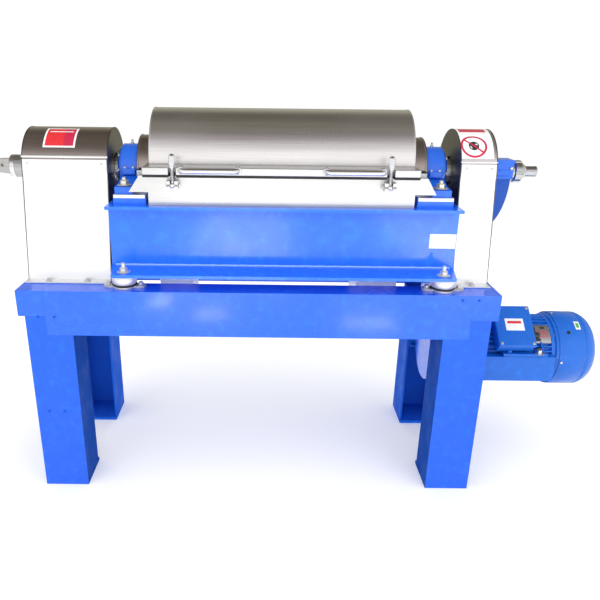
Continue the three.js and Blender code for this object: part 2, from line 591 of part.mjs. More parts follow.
// the large hub, with the weir holes that the clear liquid leaves by
function buildHubRight() {
  const { right, neckR, rightNeck, weirs, weirR, weirAt } = HUB;
  const bore = HUB.feedBore + SPIN_GAP;
  const x0 = BOWL.x1 + GAP;
  const flange = x0 + HUB_FLANGE.right;
  const hub = turned([
    [x0, bore], [right, bore], [right, JOURNAL_R], [rightNeck, JOURNAL_R], [rightNeck, neckR],
    [flange, neckR],
    [flange, BOWL.r], [x0, BOWL.r],
  ]);
  const ports = [...Array(weirs).keys()].map((k) => {
    const angle = ((k + 0.5) * 2 * Math.PI) / weirs;
    return cylinderX(weirR, x0 - PAST, flange + PAST, AXIS_Z + weirAt * Math.sin(angle),
      weirAt * Math.cos(angle), 10);
  });
  return cut(hub, ...ports);
}

// hollow drum of the planetary gearbox, open round the pinion shaft at its left end
function buildGearbox() {
  const { x0, x1, r, chamfer, wall, end, lidX, bore, faceX } = GEARBOX;
  const shaftBore = DRIVE_R + GAP;
  return turned([
    [x0, bore], [lidX, bore], [lidX, r - wall], [x1 - end, r - wall], [x1 - end, shaftBore],
    [x1 - GAP, shaftBore],
    [x1 - GAP, r - chamfer], [faceX, r], [x0 + chamfer, r], [x0, r - chamfer],
  ]);
}

// rim with one groove for each belt
function buildPulley(outer, bore, z) {
  const { x0, x1, grooves, groove, depth } = PULLEY;
  const profile = [[x0, bore], [x1, bore], [x1, outer]];
  for (const x of [...grooves].reverse()) {
    profile.push([x + groove / 2, outer], [x + groove / 2, outer - depth]);
    profile.push([x - groove / 2, outer - depth], [x - groove / 2, outer]);
  }
  profile.push([x0, outer]);
  return turned(profile, z);
}

addPart('bowl_shell', buildBowlShell(), stainless());
addPart('bowl_hub_left', buildHubLeft(), stainless());
addPart('bowl_hub_right', buildHubRight(), stainless());
addPart('gearbox_housing', buildGearbox(), iron());
addPart('bowl_pulley', buildPulley(BOWL_PULLEY_R, JOURNAL_R + GAP, AXIS_Z), iron());

// ---------------------------------------------------------------- screw conveyor
// a thin strip of box wound into a helix whose outer edge follows the inside of the bowl
function buildFlight() {
  const { x0, x1, core, pitch, thick, stepsPerTurn, tip, root } = SCREW;
  const turns = (x1 - x0) / pitch;
  const steps = Math.round(turns * stepsPerTurn);
  const strip = new THREE.BoxGeometry(x1 - x0, 1, thick, steps, 1, 1);
  const position = strip.attributes.position;
  for (let i = 0; i < position.count; i += 1) {
    const along = position.getX(i) + (x0 + x1) / 2;
    const angle = ((along - x0) / pitch) * 2 * Math.PI;
    const outer = bowlRadius(along) - BOWL.wall - tip;
    const r = position.getY(i) > 0 ? outer : core + root;
    position.setXYZ(i, along + position.getZ(i), r * Math.cos(angle), AXIS_Z - r * Math.sin(angle));
  }
  return strip;
}

function buildConveyorShaft() {
  const { x0, x1, core } = SCREW;
  const { solidTo, feedR, endR, endLength, port, portHalf } = SCREW_SHAFT;
  const end = x1 + endLength;
  const shoulder = x1 + HUB_FLANGE.left / 2;
  const start = x0 - HUB_FLANGE.left;
  const body = turned([
    [CARRIER.x0, 0], [solidTo, 0], [solidTo, feedR], [end, feedR], [end, endR], [shoulder, endR],
    [shoulder, core],
    [start, core], [start, DRIVE_R], [CARRIER.x0, DRIVE_R],
  ]);
  return cut(join(body, planetCarrier()), box(...port, -FAR, FAR, AXIS_Z - portHalf, AXIS_Z + portHalf));
}

// disc on the drive shaft's end with its planet pins
function planetCarrier() {
  const { x0, x1, r, pins, pinR, pinEnd, pinAt } = CARRIER;
  const disc = ring(x0, x1, DRIVE_R - OVERLAP, r);
  const studs = [...Array(pins).keys()].map((k) => {
    const angle = (k * 2 * Math.PI) / pins;
    return cylinderX(pinR, pinEnd, x1 - OVERLAP, AXIS_Z + pinAt * Math.sin(angle),
      pinAt * Math.cos(angle), 12);
  });
  return join(disc, ...studs);
}

addPart('conveyor_shaft', buildConveyorShaft(), stainless());
addPart('conveyor_flight', buildFlight(), stainless());

// ---------------------------------------------------------------- pinion shaft and torque arm
function buildPinionShaft() {
  const { x0, x1, r, gearR, gearX } = PINION;
  return turned([[x0, 0], [x1, 0], [x1, gearR], [gearX, gearR], [gearX, r], [x0, r]]);
}

function buildTorqueArm() {
  const { tip, x1, taperX, z, tipZ, halfDepth, collarR } = TORQUE_ARM;
  const arm = alongY(outline([
    [tip, AXIS_Z + tipZ[0]], [taperX, AXIS_Z + z[0]], [x1, AXIS_Z + z[0]], [x1, AXIS_Z + z[1]],
    [taperX, AXIS_Z + z[1]], [tip, AXIS_Z + tipZ[1]],
  ]), -halfDepth, halfDepth);
  const collar = cylinderX(collarR, taperX, GEAR_GUARD.x0 - GAP);
  const hole = cylinderY(ARM_HOLE.r, -halfDepth - PAST, halfDepth + PAST, ARM_HOLE.x,
    AXIS_Z + ARM_HOLE.lift, 16);
  return cut(join(arm, collar), hole, cylinderX(PINION.r + GAP, PINION.x0 - GAP, GEAR_GUARD.x0 + PAST));
}

addPart('pinion_shaft', buildPinionShaft(), polished());
addPart('torque_arm', buildTorqueArm(), stainless());

// ---------------------------------------------------------------- feed tube and its bracket
function buildFeedBracket() {
  const x0 = BELT_GUARD.x1 + GAP;
  const { x1, halfDepth, bottom, z0, z1, gussetInset, gussetX, gussetBow } = FEED_BLOCK;
  const block = box(x0, x1, -halfDepth, halfDepth, z0, z1);
  const gusset = outline([[x0, bottom]]);
  gusset.quadraticCurveTo(x1 - gussetX, bottom + gussetBow, x1 - gussetX, z0 + OVERLAP);
  gusset.lineTo(x0, z0 + OVERLAP);
  const web = alongY(gusset, gussetInset - halfDepth, halfDepth - gussetInset, 10);
  return cut(join(block, web), cylinderX(FEED_TUBE.r + GAP, x0 - PAST, x1 + PAST));
}

addPart('feed_bracket', buildFeedBracket(), paint());
addPart('feed_tube', ring(FEED_TUBE.x0, FEED_TUBE.x1, FEED_TUBE.bore, FEED_TUBE.r), polished());
addPart('feed_union_nut', ring(FEED_BLOCK.x1 + GAP, FEED_TUBE.nutEnd, FEED_TUBE.r + GAP,
  FEED_TUBE.nutR), polished());

// ---------------------------------------------------------------- belts
// the path of a belt round both pulleys, at a distance from each pulley's rim
function beltPath(offset) {
  const top = BOWL_PULLEY_R - offset;
  const low = MOTOR_PULLEY_R - offset;
  const lean = Math.asin((low - top) / (AXIS_Z - MOTOR_Z));
  const path = new THREE.Shape();
  path.absarc(0, AXIS_Z, top, lean, Math.PI - lean, false);
  path.absarc(0, MOTOR_Z, low, Math.PI - lean, 2 * Math.PI + lean, false);
  return path;
}

PULLEY.grooves.forEach((x, i) => {
  const inner = PULLEY.depth - BELT.lift;
  const belt = cut(alongX(beltPath(inner - BELT.thick), x - BELT.width / 2, x + BELT.width / 2, 12),
    alongX(beltPath(inner), x - BELT.width, x + BELT.width, 12));
  addPart(`drive_belt_${i + 1}`, belt, rubber());
});

// ---------------------------------------------------------------- motor
// a circle of square-topped fins, with the feet, the seat of the terminal box and the rear shield joined on
function buildStator() {
  const { body0, body1, cap0, r, core, bore, fins, finTaper, endR, footX, footY, footThick } = MOTOR;
  const spigot = cap0 + MOTOR.spigot;
  const quarter = Math.PI / fins / 2;
  const corner = (radius, angle) => [radius * Math.cos(angle), MOTOR_Z + radius * Math.sin(angle)];
  const body = alongX(outline([...Array(fins).keys()].flatMap((k) => {
    const a = (k * 2 * Math.PI) / fins;
    return [corner(core, a - quarter), corner(r, a - quarter * finTaper), corner(r, a + quarter * finTaper),
      corner(core, a + quarter)];
  })), body0, body1);
  const footZ = [MOTOR_ARM.z1 + GAP, MOTOR_ARM.z1 + footThick];
  const feet = [box(...footX, -MOTOR_ARM.outerY, -footY, ...footZ),
    box(...footX, footY, MOTOR_ARM.outerY, ...footZ)];
  const { x0, x1, seat, seatHalf } = TERMINAL_BOX;
  const boxSeat = tilted(box(x0, x1, -seatHalf, seatHalf, bore + OVERLAP, seat));
  const bored = cut(join(body, ...feet, boxSeat), cylinderX(bore + GAP, body0 - PAST, body1 + PAST,
    MOTOR_Z));
  const shaftBore = DRIVE_R + GAP;
  const rearShield = turned([
    [body1 - OVERLAP, shaftBore], [spigot, shaftBore], [spigot, MOTOR.spigotR], [cap0 - GAP, endR],
    [body1 - OVERLAP, endR],
  ], MOTOR_Z);
  return join(bored, rearShield);
}

// a piece built over the motor's axis, turned down towards the operator's side
const tilted = (geometry) =>
  geometry.rotateX(THREE.MathUtils.degToRad(90 - TERMINAL_BOX.tilt)).translate(0, 0, MOTOR_Z);

function buildTerminalBox() {
  const { x0, x1, face, seat, half, glandR, gland } = TERMINAL_BOX;
  const body = box(x0, x1, -half, half, seat + GAP, face);
  return tilted(join(body, cylinderX(glandR, x1 - OVERLAP, x1 + gland, (seat + face) / 2, -half / 3, 12)));
}

function buildFanCover() {
  const { cap0, cap1, capR } = MOTOR;
  const { wall, dome, shoulder, eyeR, faceR } = FAN_COVER;
  const bend = cap1 - dome;
  return turned([
    [cap0, capR - wall], [bend, capR - wall], [cap1 - 2 * wall, capR - shoulder - wall],
    [cap1 - wall, faceR],
    [cap1 - wall, eyeR], [cap1, eyeR], [cap1, faceR], [cap1 - wall, capR - shoulder], [bend, capR],
    [cap0, capR],
  ], MOTOR_Z, 24);
}

// fan hub and blades on the tail of the rotor's shaft
function fanPieces() {
  const { start, end, hubR, bladeR, bladeRoot, blades, thick } = FAN;
  const x0 = MOTOR.cap0 + start;
  const x1 = MOTOR.cap0 + end;
  const hub = cylinderX(hubR, x0, x1, MOTOR_Z);
  const vanes = [...Array(blades).keys()].map((k) =>
    box(x0 + OVERLAP, x1 - OVERLAP, bladeRoot, bladeR, -thick / 2, thick / 2)
      .rotateX((k * 2 * Math.PI) / blades).translate(0, 0, MOTOR_Z));
  return [hub, ...vanes];
}

function buildRotor() {
  const { body0, body1, bore, shield0, cap0, bearingStep, windingSpace } = MOTOR;
  const start = PULLEY.x0 + OVERLAP;
  const end = cap0 + FAN.end + OVERLAP;
  const seatR = DRIVE_R + bearingStep;
  const rotorR = bore - SPIN_GAP;
  const shaft = turned([
    [start, 0], [end, 0], [end, DRIVE_R], [body1 - windingSpace, DRIVE_R], [body1 - windingSpace, rotorR],
    [body0 + windingSpace, rotorR], [body0 + windingSpace, seatR], [shield0 - DRIVE_R, seatR],
    [shield0 - DRIVE_R, DRIVE_R], [start, DRIVE_R],
  ], MOTOR_Z);
  return join(shaft, ...fanPieces());
}

const shieldBore = DRIVE_R + MOTOR.bearingStep + SPIN_GAP;
addPart('motor_drive_shield', turned([
  [MOTOR.shield0, shieldBore], [MOTOR.body0 - GAP, shieldBore], [MOTOR.body0 - GAP, MOTOR.endR],
  [MOTOR.shield0 + MOTOR.shieldStep, MOTOR.endR], [MOTOR.shield0, MOTOR.shieldR],
], MOTOR_Z), motorPaint());
addPart('motor_stator', buildStator(), motorPaint());
addPart('motor_fan_cover', buildFanCover(), motorPaint());
addPart('motor_terminal_box', buildTerminalBox(), motorPaint());
addPart('motor_rotor', buildRotor(), iron());
addPart('motor_pulley', buildPulley(MOTOR_PULLEY_R, DRIVE_R + GAP, MOTOR_Z), iron());

// the rear one of the two channels that carry the motor
function buildMotorArm() {
  const { x0, x1, outerY, flange, z0, z1, plate } = MOTOR_ARM;
  const inner = outerY - flange;
  return alongX(outline([
    [outerY, z0], [outerY, z1], [inner, z1], [inner, z1 - plate], [outerY - plate, z1 - plate],
    [outerY - plate, z0 + plate], [inner, z0 + plate], [inner, z0],
  ]), x0, x1);
}

for (const [name, side] of SIDES) addPart(`motor_arm_${name}`, buildMotorArm(), paint()).scale.y = side;

export default machine;
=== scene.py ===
import json
import math

import bmesh
import bpy
from mathutils import Matrix, Vector
from mathutils.geometry import tessellate_polygon


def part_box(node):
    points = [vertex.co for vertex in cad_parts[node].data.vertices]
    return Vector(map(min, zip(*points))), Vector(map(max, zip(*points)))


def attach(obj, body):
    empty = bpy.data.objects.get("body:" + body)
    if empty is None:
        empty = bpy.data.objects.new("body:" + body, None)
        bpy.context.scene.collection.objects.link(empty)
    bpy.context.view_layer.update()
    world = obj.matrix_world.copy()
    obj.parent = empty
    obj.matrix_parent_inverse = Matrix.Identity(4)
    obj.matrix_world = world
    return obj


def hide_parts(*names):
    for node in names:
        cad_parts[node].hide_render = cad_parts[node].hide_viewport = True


# Looks of the decanter centrifuge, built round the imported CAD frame.
# Metres, +Z up, -Y is the operator's side. Angles given to arc, patch and half_ring are in degrees.

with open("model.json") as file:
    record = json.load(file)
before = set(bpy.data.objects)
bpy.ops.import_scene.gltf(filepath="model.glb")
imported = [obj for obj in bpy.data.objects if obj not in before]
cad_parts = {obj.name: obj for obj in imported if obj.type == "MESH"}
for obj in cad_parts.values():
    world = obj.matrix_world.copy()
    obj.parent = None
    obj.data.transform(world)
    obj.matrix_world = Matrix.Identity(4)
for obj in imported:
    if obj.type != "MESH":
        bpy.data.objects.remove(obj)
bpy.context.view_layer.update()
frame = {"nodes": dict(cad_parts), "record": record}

NODES = frame["nodes"]
JOINTS = {joint["name"]: joint for joint in frame["record"]["behaviour"]["joints"]}
AXIS_Z = JOINTS["bowl_spin"]["pos_m"][2]
MOTOR_Z = JOINTS["motor_spin"]["pos_m"][2]
ROOT = "stand_and_casing"
FRONT, REAR = -1, 1
ENDS = ("left", "right")
LID_BODY = "lid"
# the body that a piece rides on and the slot of its material, for the pairs that most pieces share
STAINLESS = (ROOT, "stainless")
ENAMELLED = (ROOT, "blue_paint")
MOTOR_PAINTED = (ROOT, "motor_paint")
LID_STAINLESS = (LID_BODY, "stainless")
ROUND = 96  # sides of a smooth round piece


def low(node):
    return Vector(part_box(node)[0])


def high(node):
    return Vector(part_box(node)[1])


def middle(node):
    return (low(node) + high(node)) / 2


# ------------------------------------------------------------------ camera
CAMERA_PLACE = Vector((-0.1452, -2.148, 1.407))
CAMERA_DOWN = math.radians(20.3)
CAMERA_ROLL = math.radians(0.65)


def build_camera():
    """The photograph's camera, worked out from the stand's edges."""
    data = bpy.data.cameras.new("camera")
    data.lens = 36.66
    data.sensor_width = 36
    data.shift_x = 0.0617
    camera = bpy.data.objects.new("camera", data)
    bpy.context.scene.collection.objects.link(camera)
    tilt = Matrix.Rotation(math.pi / 2 - CAMERA_DOWN, 4, "X")
    camera.matrix_world = Matrix.Translation(CAMERA_PLACE) @ tilt @ Matrix.Rotation(CAMERA_ROLL, 4, "Z")
    bpy.context.scene.camera = camera


build_camera()


# ------------------------------------------------------------------ materials
def colour_ramp(nodes, links, value, stops):
    """Adds a ramp through (place, colour) stops and returns its colour."""
    ramp = nodes.new("ShaderNodeValToRGB")
    elements = ramp.color_ramp.elements
    while len(elements) < len(stops):
        elements.new(0.5)
    for element, (place, colour) in zip(elements, stops):
        element.position = place
        element.color = (*colour, 1)
    links.new(value, ramp.inputs["Fac"])
    return ramp.outputs["Color"]


class Finish:
    """A node material with the few node groups that every finish here is made of."""

    def __init__(self, name, **sockets):
        self.material = bpy.data.materials.new(name)
        self.material.use_nodes = True
        self.nodes = self.material.node_tree.nodes
        self.links = self.material.node_tree.links
        self.shader = self.nodes["Principled BSDF"]
        for socket, value in sockets.items():
            self.shader.inputs[socket.replace("_", " ")].default_value = value

    def noise(self, scale, detail=4.0, stretch=(1, 1, 1), roughness=0.5):
        coordinate = self.nodes.new("ShaderNodeTexCoord")
        mapping = self.nodes.new("ShaderNodeMapping")
        mapping.inputs["Scale"].default_value = stretch
        texture = self.nodes.new("ShaderNodeTexNoise")
        texture.inputs["Scale"].default_value = scale
        texture.inputs["Detail"].default_value = detail
        texture.inputs["Roughness"].default_value = roughness
        self.links.new(coordinate.outputs["Object"], mapping.inputs["Vector"])
        self.links.new(mapping.outputs["Vector"], texture.inputs["Vector"])
        return texture.outputs["Fac"]

    def ramp(self, value, *stops):
        return colour_ramp(self.nodes, self.links, value, stops)

    def spread(self, value, lowest, highest, start=0.3, end=0.7):
        node = self.nodes.new("ShaderNodeMapRange")
        node.inputs["From Min"].default_value = start
        node.inputs["From Max"].default_value = end
        node.inputs["To Min"].default_value = lowest
        node.inputs["To Max"].default_value = highest
        self.links.new(value, node.inputs["Value"])
        return node.outputs["Result"]

    def mix(self, share, first, second, blend="MIX"):
        node = self.nodes.new("ShaderNodeMix")
        node.data_type = "RGBA"
        node.blend_type = blend
        for socket, value in (("Factor", share), ("A", first), ("B", second)):
            inlet = [s for s in node.inputs if s.name == socket and s.enabled][0]
            if hasattr(value, "is_linked"):
                self.links.new(value, inlet)
            else:
                inlet.default_value = value if socket == "Factor" else (*value, 1)
        return [s for s in node.outputs if s.enabled][0]

    def edges(self, start=0.5, end=0.56):
        geometry = self.nodes.new("ShaderNodeNewGeometry")
        return self.spread(geometry.outputs["Pointiness"], 0.0, 1.0, start, end)

    def colour(self, value):
        self.links.new(value, self.shader.inputs["Base Color"])

    def rough(self, value):
        self.links.new(value, self.shader.inputs["Roughness"])

    def bump(self, *layers):
        """Each layer is a height value, a strength and a depth in metres."""
        normal = None
        for height, strength, depth in layers:
            node = self.nodes.new("ShaderNodeBump")
            node.inputs["Strength"].default_value = strength
            node.inputs["Distance"].default_value = depth
            self.links.new(height, node.inputs["Height"])
            if normal:
                self.links.new(normal, node.inputs["Normal"])
            normal = node.outputs["Normal"]
        self.links.new(normal, self.shader.inputs["Normal"])


def scaled(colour, factor):
    """The colour made darker or lighter."""
    return tuple(min(1.0, channel * factor) for channel in colour)


def enamel(name, colour, gloss=0.2, waviness=0.12, orange_peel=0.08, coat=0.35, sheen=0.45):
    """Sprayed gloss enamel: orange peel, slow waves in the plate, uneven film, and lighter edges that are
    partly rubbed wear and partly a painted highlight.
    """
    finish = Finish(name, Roughness=gloss, Coat_Weight=coat, Coat_Roughness=0.1, Specular_IOR_Level=sheen)
    film = finish.ramp(finish.noise(3.5, 5), (0.3, scaled(colour, 0.94)), (0.7, scaled(colour, 1.04)))
    specks = finish.spread(finish.noise(60, 6, roughness=0.7), 0, 0.06, 0.55, 0.8)
    dust = finish.mix(specks, film, (0.3, 0.4, 0.7))
    # a lighter copy of the colour, laid on the sharp edges below: partly rubbed wear, partly painted
    # highlight along the edges
    wear_and_highlight = finish.mix(finish.spread(finish.noise(30, 4), 0, 0.35, 0.5, 0.75), dust, scaled(colour, 1.9))
    edges_with_wear_and_highlight = finish.mix(finish.edges(0.515, 0.6), dust, wear_and_highlight)
    finish.colour(edges_with_wear_and_highlight)
    finish.rough(finish.spread(finish.noise(9, 5), gloss * 0.75, gloss * 1.5))
    finish.bump((finish.noise(3, 2), waviness, 0.02), (finish.noise(350, 2), orange_peel, 0.0006))
    return finish.material


def brushed(name, colour, rough=0.28, along="X", grain=1.0, metallic=1.0, smudge=0.12, contrast=0.12,
            streaks=0.0):
    """Brushed stainless sheet: fine scratches and soft streaks along one axis, smudges and water marks."""
    finish = Finish(name, Metallic=metallic)
    stretch = [420.0, 420.0, 420.0]
    stretch["XYZ".index(along)] = 5.0
    scratches = finish.noise(1.0, 6, stretch, 0.65)
    base = finish.ramp(scratches, (0.3, scaled(colour, 1 - contrast)), (0.72, scaled(colour, 1 + contrast)))
    marks = finish.spread(finish.noise(5, 6, roughness=0.6), 0, smudge, 0.4, 0.9)
    smudged = finish.mix(marks, base, scaled(colour, 0.62))
    if streaks:
        stretch = [28.0, 28.0, 28.0]
        stretch["XYZ".index(along)] = 1.1
        bands = finish.spread(finish.noise(1.0, 3, stretch, 0.55), 0, streaks, 0.42, 0.7)
        smudged = finish.mix(bands, smudged, scaled(colour, 0.7))
    finish.colour(smudged)
    finish.rough(finish.spread(finish.noise(2.2, 5, [1, 1, 1]), rough * 0.8, rough * 1.3))
    finish.bump((scratches, 0.1 * grain, 0.0008), (finish.noise(1.6, 1), 0.05, 0.01))
    return finish.material


def polished(name, colour=(0.86, 0.86, 0.86), rough=0.1):
    """Polished or chromed steel with fine handling scratches."""
    finish = Finish(name, Metallic=1.0)
    scratches = finish.noise(160, 5, (1, 4, 1), 0.7)
    finish.colour(finish.ramp(scratches, (0.25, scaled(colour, 0.9)), (0.75, colour)))
    finish.rough(finish.spread(finish.noise(40, 4), rough * 0.7, rough * 1.8))
    finish.bump((scratches, 0.04, 0.0004))
    return finish.material


def plated(name, colour=(0.78, 0.77, 0.72), rough=0.36):
    """Zinc plate: a cloudy, slightly warm grey with spangles."""
    finish = Finish(name, Metallic=0.75)
    cloud = finish.noise(45, 5, roughness=0.65)
    finish.colour(finish.ramp(cloud, (0.3, scaled(colour, 0.82)), (0.7, scaled(colour, 1.1))))
    finish.rough(finish.spread(cloud, rough * 0.8, rough * 1.3))
    finish.bump((finish.noise(400, 3), 0.08, 0.0004))
    return finish.material


def cast(name, colour, rough=0.5, metallic=0.3, grain=0.35):
    """A cast surface: pitted, with darker hollows."""
    finish = Finish(name, Metallic=metallic)
    pits = finish.noise(260, 5, roughness=0.7)
    finish.colour(finish.ramp(pits, (0.3, scaled(colour, 0.7)), (0.7, scaled(colour, 1.15))))
    finish.rough(finish.spread(finish.noise(20, 4), rough * 0.8, rough * 1.25))
    finish.bump((pits, grain, 0.001))
    return finish.material


def matt_rubber(name, colour=(0.018, 0.018, 0.02)):
    """Moulded black rubber with a fine grit."""
    finish = Finish(name, Specular_IOR_Level=0.35)
    grit = finish.noise(300, 5, roughness=0.7)
    finish.colour(finish.ramp(grit, (0.3, colour), (0.75, scaled(colour, 2.2))))
    finish.rough(finish.spread(finish.noise(30, 4), 0.6, 0.85))
    finish.bump((grit, 0.2, 0.0006))
    return finish.material


def printed(name, colour, rough=0.35):
    """A printed vinyl label: slightly mottled ink under a soft film."""
    finish = Finish(name, Coat_Weight=0.25, Coat_Roughness=0.2)
    ink = finish.noise(90, 4)
    finish.colour(finish.ramp(ink, (0.3, scaled(colour, 0.92)), (0.7, scaled(colour, 1.03))))
    finish.rough(finish.spread(ink, rough * 0.85, rough * 1.2))
    finish.bump((finish.noise(120, 3), 0.05, 0.0003))
    return finish.material


BLUE = (0.015, 0.165, 0.93)
STAND_BLUE = (0.010, 0.122, 0.82)
MOTOR_BLUE = (0.006, 0.130, 0.59)
SHADE = 0.66  # how much darker the rear legs' enamel is made: painted shade, for the shade under the table

paint = enamel("stand_enamel", BLUE)
stand_paint = enamel("table_enamel", STAND_BLUE)
# the front legs' enamel is the table's made darker: painted shade on the legs
leg_shade_enamel = enamel("leg_painted_shade_enamel", scaled(STAND_BLUE, 0.88), coat=0.18, sheen=0.3)
# a much darker, matt copy of the frame blue for the legs' inward sides and insides: painted shade
inner_shade_enamel = enamel("inner_painted_shade_enamel", scaled(BLUE, 0.36), 0.68, coat=0.0, sheen=0.05)
rear_shade_enamel = enamel("rear_painted_shade_enamel", scaled(BLUE, SHADE), 0.62, coat=0.0, sheen=0.1)
# a half-bright copy of the frame blue for the feed bracket's gusset: painted shade
bracket_shade_enamel = enamel("bracket_painted_shade_enamel", scaled(BLUE, 0.5), 0.3, coat=0.1, sheen=0.3)
block_paint = enamel("casting_enamel", scaled(BLUE, 0.85), 0.25, 0.3, 0.5)
motor_paint = enamel("motor_enamel", MOTOR_BLUE, 0.28, 0.2, 0.3, 0.25, 0.35)
lid_steel = brushed("lid_steel", (0.92, 0.89, 0.885), 0.26, smudge=0.08, contrast=0.08, streaks=0.5)
guard_steel = brushed("guard_steel", (0.97, 0.97, 0.97), 0.38, "Z", 0.25, 0.7, 0.04, 0.02)
# the gearbox hood's steel is made dark brown: a painted reflection of the dark ceiling and surroundings
hood_steel_painted_dark_reflection = brushed("hood_steel_painted_dark_reflection", (0.5, 0.43, 0.395), 0.24, streaks=0.45)
# the lid collars' steel is made dark brown: a painted reflection of the dark surroundings
collar_steel_painted_dark_reflection = brushed("collar_steel_painted_dark_reflection", (0.42, 0.36, 0.33), 0.3)
# the guards' end plates are made near black: painted shade on the ends turned away from the light
guard_end_steel_painted_shade = brushed("guard_end_steel_painted_shade", (0.17, 0.155, 0.14), 0.3, "Z")
casing_steel = brushed("casing_steel", (0.7, 0.7, 0.695), 0.34, grain=0.6, smudge=0.06, contrast=0.05)
# the chutes are made near white and mostly non-metallic: painted light against the shade they sit in under
# the frame
chute_steel_painted_light = brushed("chute_steel_painted_light", (0.97, 0.97, 0.96), 0.42, "Z", 0.4, 0.25, 0.04, 0.03)
process_steel = brushed("process_steel", (0.74, 0.74, 0.73), 0.3, "Y")
arm_steel = brushed("arm_steel", (0.5, 0.49, 0.48), 0.3)
white_strip_steel = brushed("white_strip_steel", (0.95, 0.95, 0.95), 0.34, smudge=0.05)
damper_steel = brushed("damper_steel", (0.86, 0.85, 0.82), 0.4, "Z", 0.6, 0.6)
machined = brushed("machined_steel", (0.8, 0.8, 0.79), 0.3, "Y", 1.4)
chrome = polished("chrome")
polished_tube = polished("polished_tube", (0.62, 0.62, 0.63), 0.12)
bar_steel = polished("bar_steel", (0.88, 0.88, 0.9), 0.12)
# dark grey polished steel for the clamp bosses: a painted dark reflection that outlines them
boss_steel_painted_dark_reflection = polished("boss_steel_painted_dark_reflection", (0.3, 0.3, 0.32), 0.2)
zinc = plated("zinc_plate")
dark_iron = cast("dark_iron", (0.1, 0.1, 0.105), 0.45, 0.8)
rubber = matt_rubber("rubber")
white_label = printed("label_white", (0.87, 0.87, 0.86))
red_label = printed("label_red", (0.72, 0.02, 0.03))
crimson_label = printed("label_crimson", (0.55, 0.012, 0.06))
# a light blue for the beads along the frame's joints: painted highlight
painted_highlight_bead = printed("painted_highlight_bead", (0.3, 0.52, 0.95), 0.25)
black_label = printed("label_black", (0.03, 0.03, 0.035))
green_label = printed("label_green", (0.1, 0.42, 0.06))
name_plate = brushed("name_plate", (0.75, 0.74, 0.76), 0.3)


# ------------------------------------------------------------------ mesh helpers
def add_piece(name, mesh, material, body, slot, replaces=(), bevel=0.0, smooth=35.0, segments=2):
    """Puts a mesh into the scene as a named piece that rides on a body."""
    mesh.materials.append(material)
    mesh.shade_smooth()
    mesh.set_sharp_from_angle(angle=math.radians(smooth))
    piece = bpy.data.objects.new(name, mesh)
    bpy.context.scene.collection.objects.link(piece)
    if bevel:
        add_bevel(piece, bevel, segments)
    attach(piece, body)
    if replaces:
        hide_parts(*replaces)
    return piece


def add_bevel(piece, width, segments=2):
    """Softens the edges that are sharper than 38 degrees."""
    modifier = piece.modifiers.new("edge", "BEVEL")
    modifier.width = width
    modifier.segments = segments
    modifier.limit_method = "ANGLE"
    modifier.angle_limit = math.radians(38)
    modifier.harden_normals = False


def to_mesh(name, bm):
    """Turns a bmesh into a mesh whose faces point outwards."""
    bmesh.ops.recalc_face_normals(bm, faces=bm.faces)
    mesh = bpy.data.meshes.new(name)
    bm.to_mesh(mesh)
    bm.free()
    return mesh


def merge(bm, other, matrix):
    """Moves a finished mesh and adds it to another one."""
    bmesh.ops.transform(other, matrix=matrix, verts=other.verts)
    scratch = bpy.data.meshes.new("scratch")
    other.to_mesh(scratch)
    other.free()
    bm.from_mesh(scratch)
    bpy.data.meshes.remove(scratch)


# how a point (a, b) of a flat outline and a depth c lie in space, for an outline extruded along each axis
SPREAD = {
    "X": lambda a, b, c: Vector((c, a, b)),
    "Y": lambda a, b, c: Vector((a, c, b)),
    "Z": lambda a, b, c: Vector((a, b, c)),
}


# how a distance along an axis and two distances across it lie in space, for a profile turned about it
TURN = {
    "X": lambda along, c, s: Vector((along, c, s)),
    "Y": lambda along, c, s: Vector((c, along, s)),
    "Z": lambda along, c, s: Vector((c, s, along)),
}


def extrude(bm, loops, start, end, axis="X"):
    """Adds a plate: the first loop is its outline, any others are holes, extruded along an axis."""
    place = SPREAD[axis]
    flat = [[Vector((a, b, 0)) for a, b in loop] for loop in loops]
    corners = [point for loop in flat for point in loop]
    near = [bm.verts.new(place(p.x, p.y, start)) for p in corners]
    far = [bm.verts.new(place(p.x, p.y, end)) for p in corners]
    if len(loops) == 1:
        bm.faces.new(near)
        bm.faces.new(far[::-1])
    else:
        for triangle in tessellate_polygon(flat):
            bm.faces.new([near[i] for i in triangle])
            bm.faces.new([far[i] for i in reversed(triangle)])
    first = 0
    for loop in loops:
        count = len(loop)
        for i in range(count):
            a, b = first + i, first + (i + 1) % count
            bm.faces.new((near[a], near[b], far[b], far[a]))
        first += count


def plate(name, loops, start, end, axis, *piece, **options):
    """A plate with holes as one piece."""
    bm = bmesh.new()
    extrude(bm, loops, start, end, axis)
    return add_piece(name, to_mesh(name, bm), *piece, **options)


def rectangle(a0, a1, b0, b1):
    return [(a0, b0), (a1, b0), (a1, b1), (a0, b1)]


def arc(radius, start, end, steps, centre=(0.0, 0.0)):
    """Points on an arc, angles in degrees."""
    angles = [math.radians(start + (end - start) * i / steps) for i in range(steps + 1)]
    return [(centre[0] + radius * math.cos(a), centre[1] + radius * math.sin(a)) for a in angles]


def circle(radius, centre=(0.0, 0.0), steps=48):
    return arc(radius, 0, 360, steps, centre)[:-1]


def around(x, radius, z, count, first=0):
    """Places evenly spread on a circle about an axis along X."""
    angles = [math.radians(first) + math.tau * k / count for k in range(count)]
    return [(x, radius * math.cos(a), z + radius * math.sin(a)) for a in angles]


def blocks(bm, *boxes):
    """Adds boxes given as (x0, x1, y0, y1, z0, z1)."""
    for x0, x1, y0, y1, z0, z1 in boxes:
        extrude(bm, [rectangle(x0, x1, y0, y1)], z0, z1, "Z")


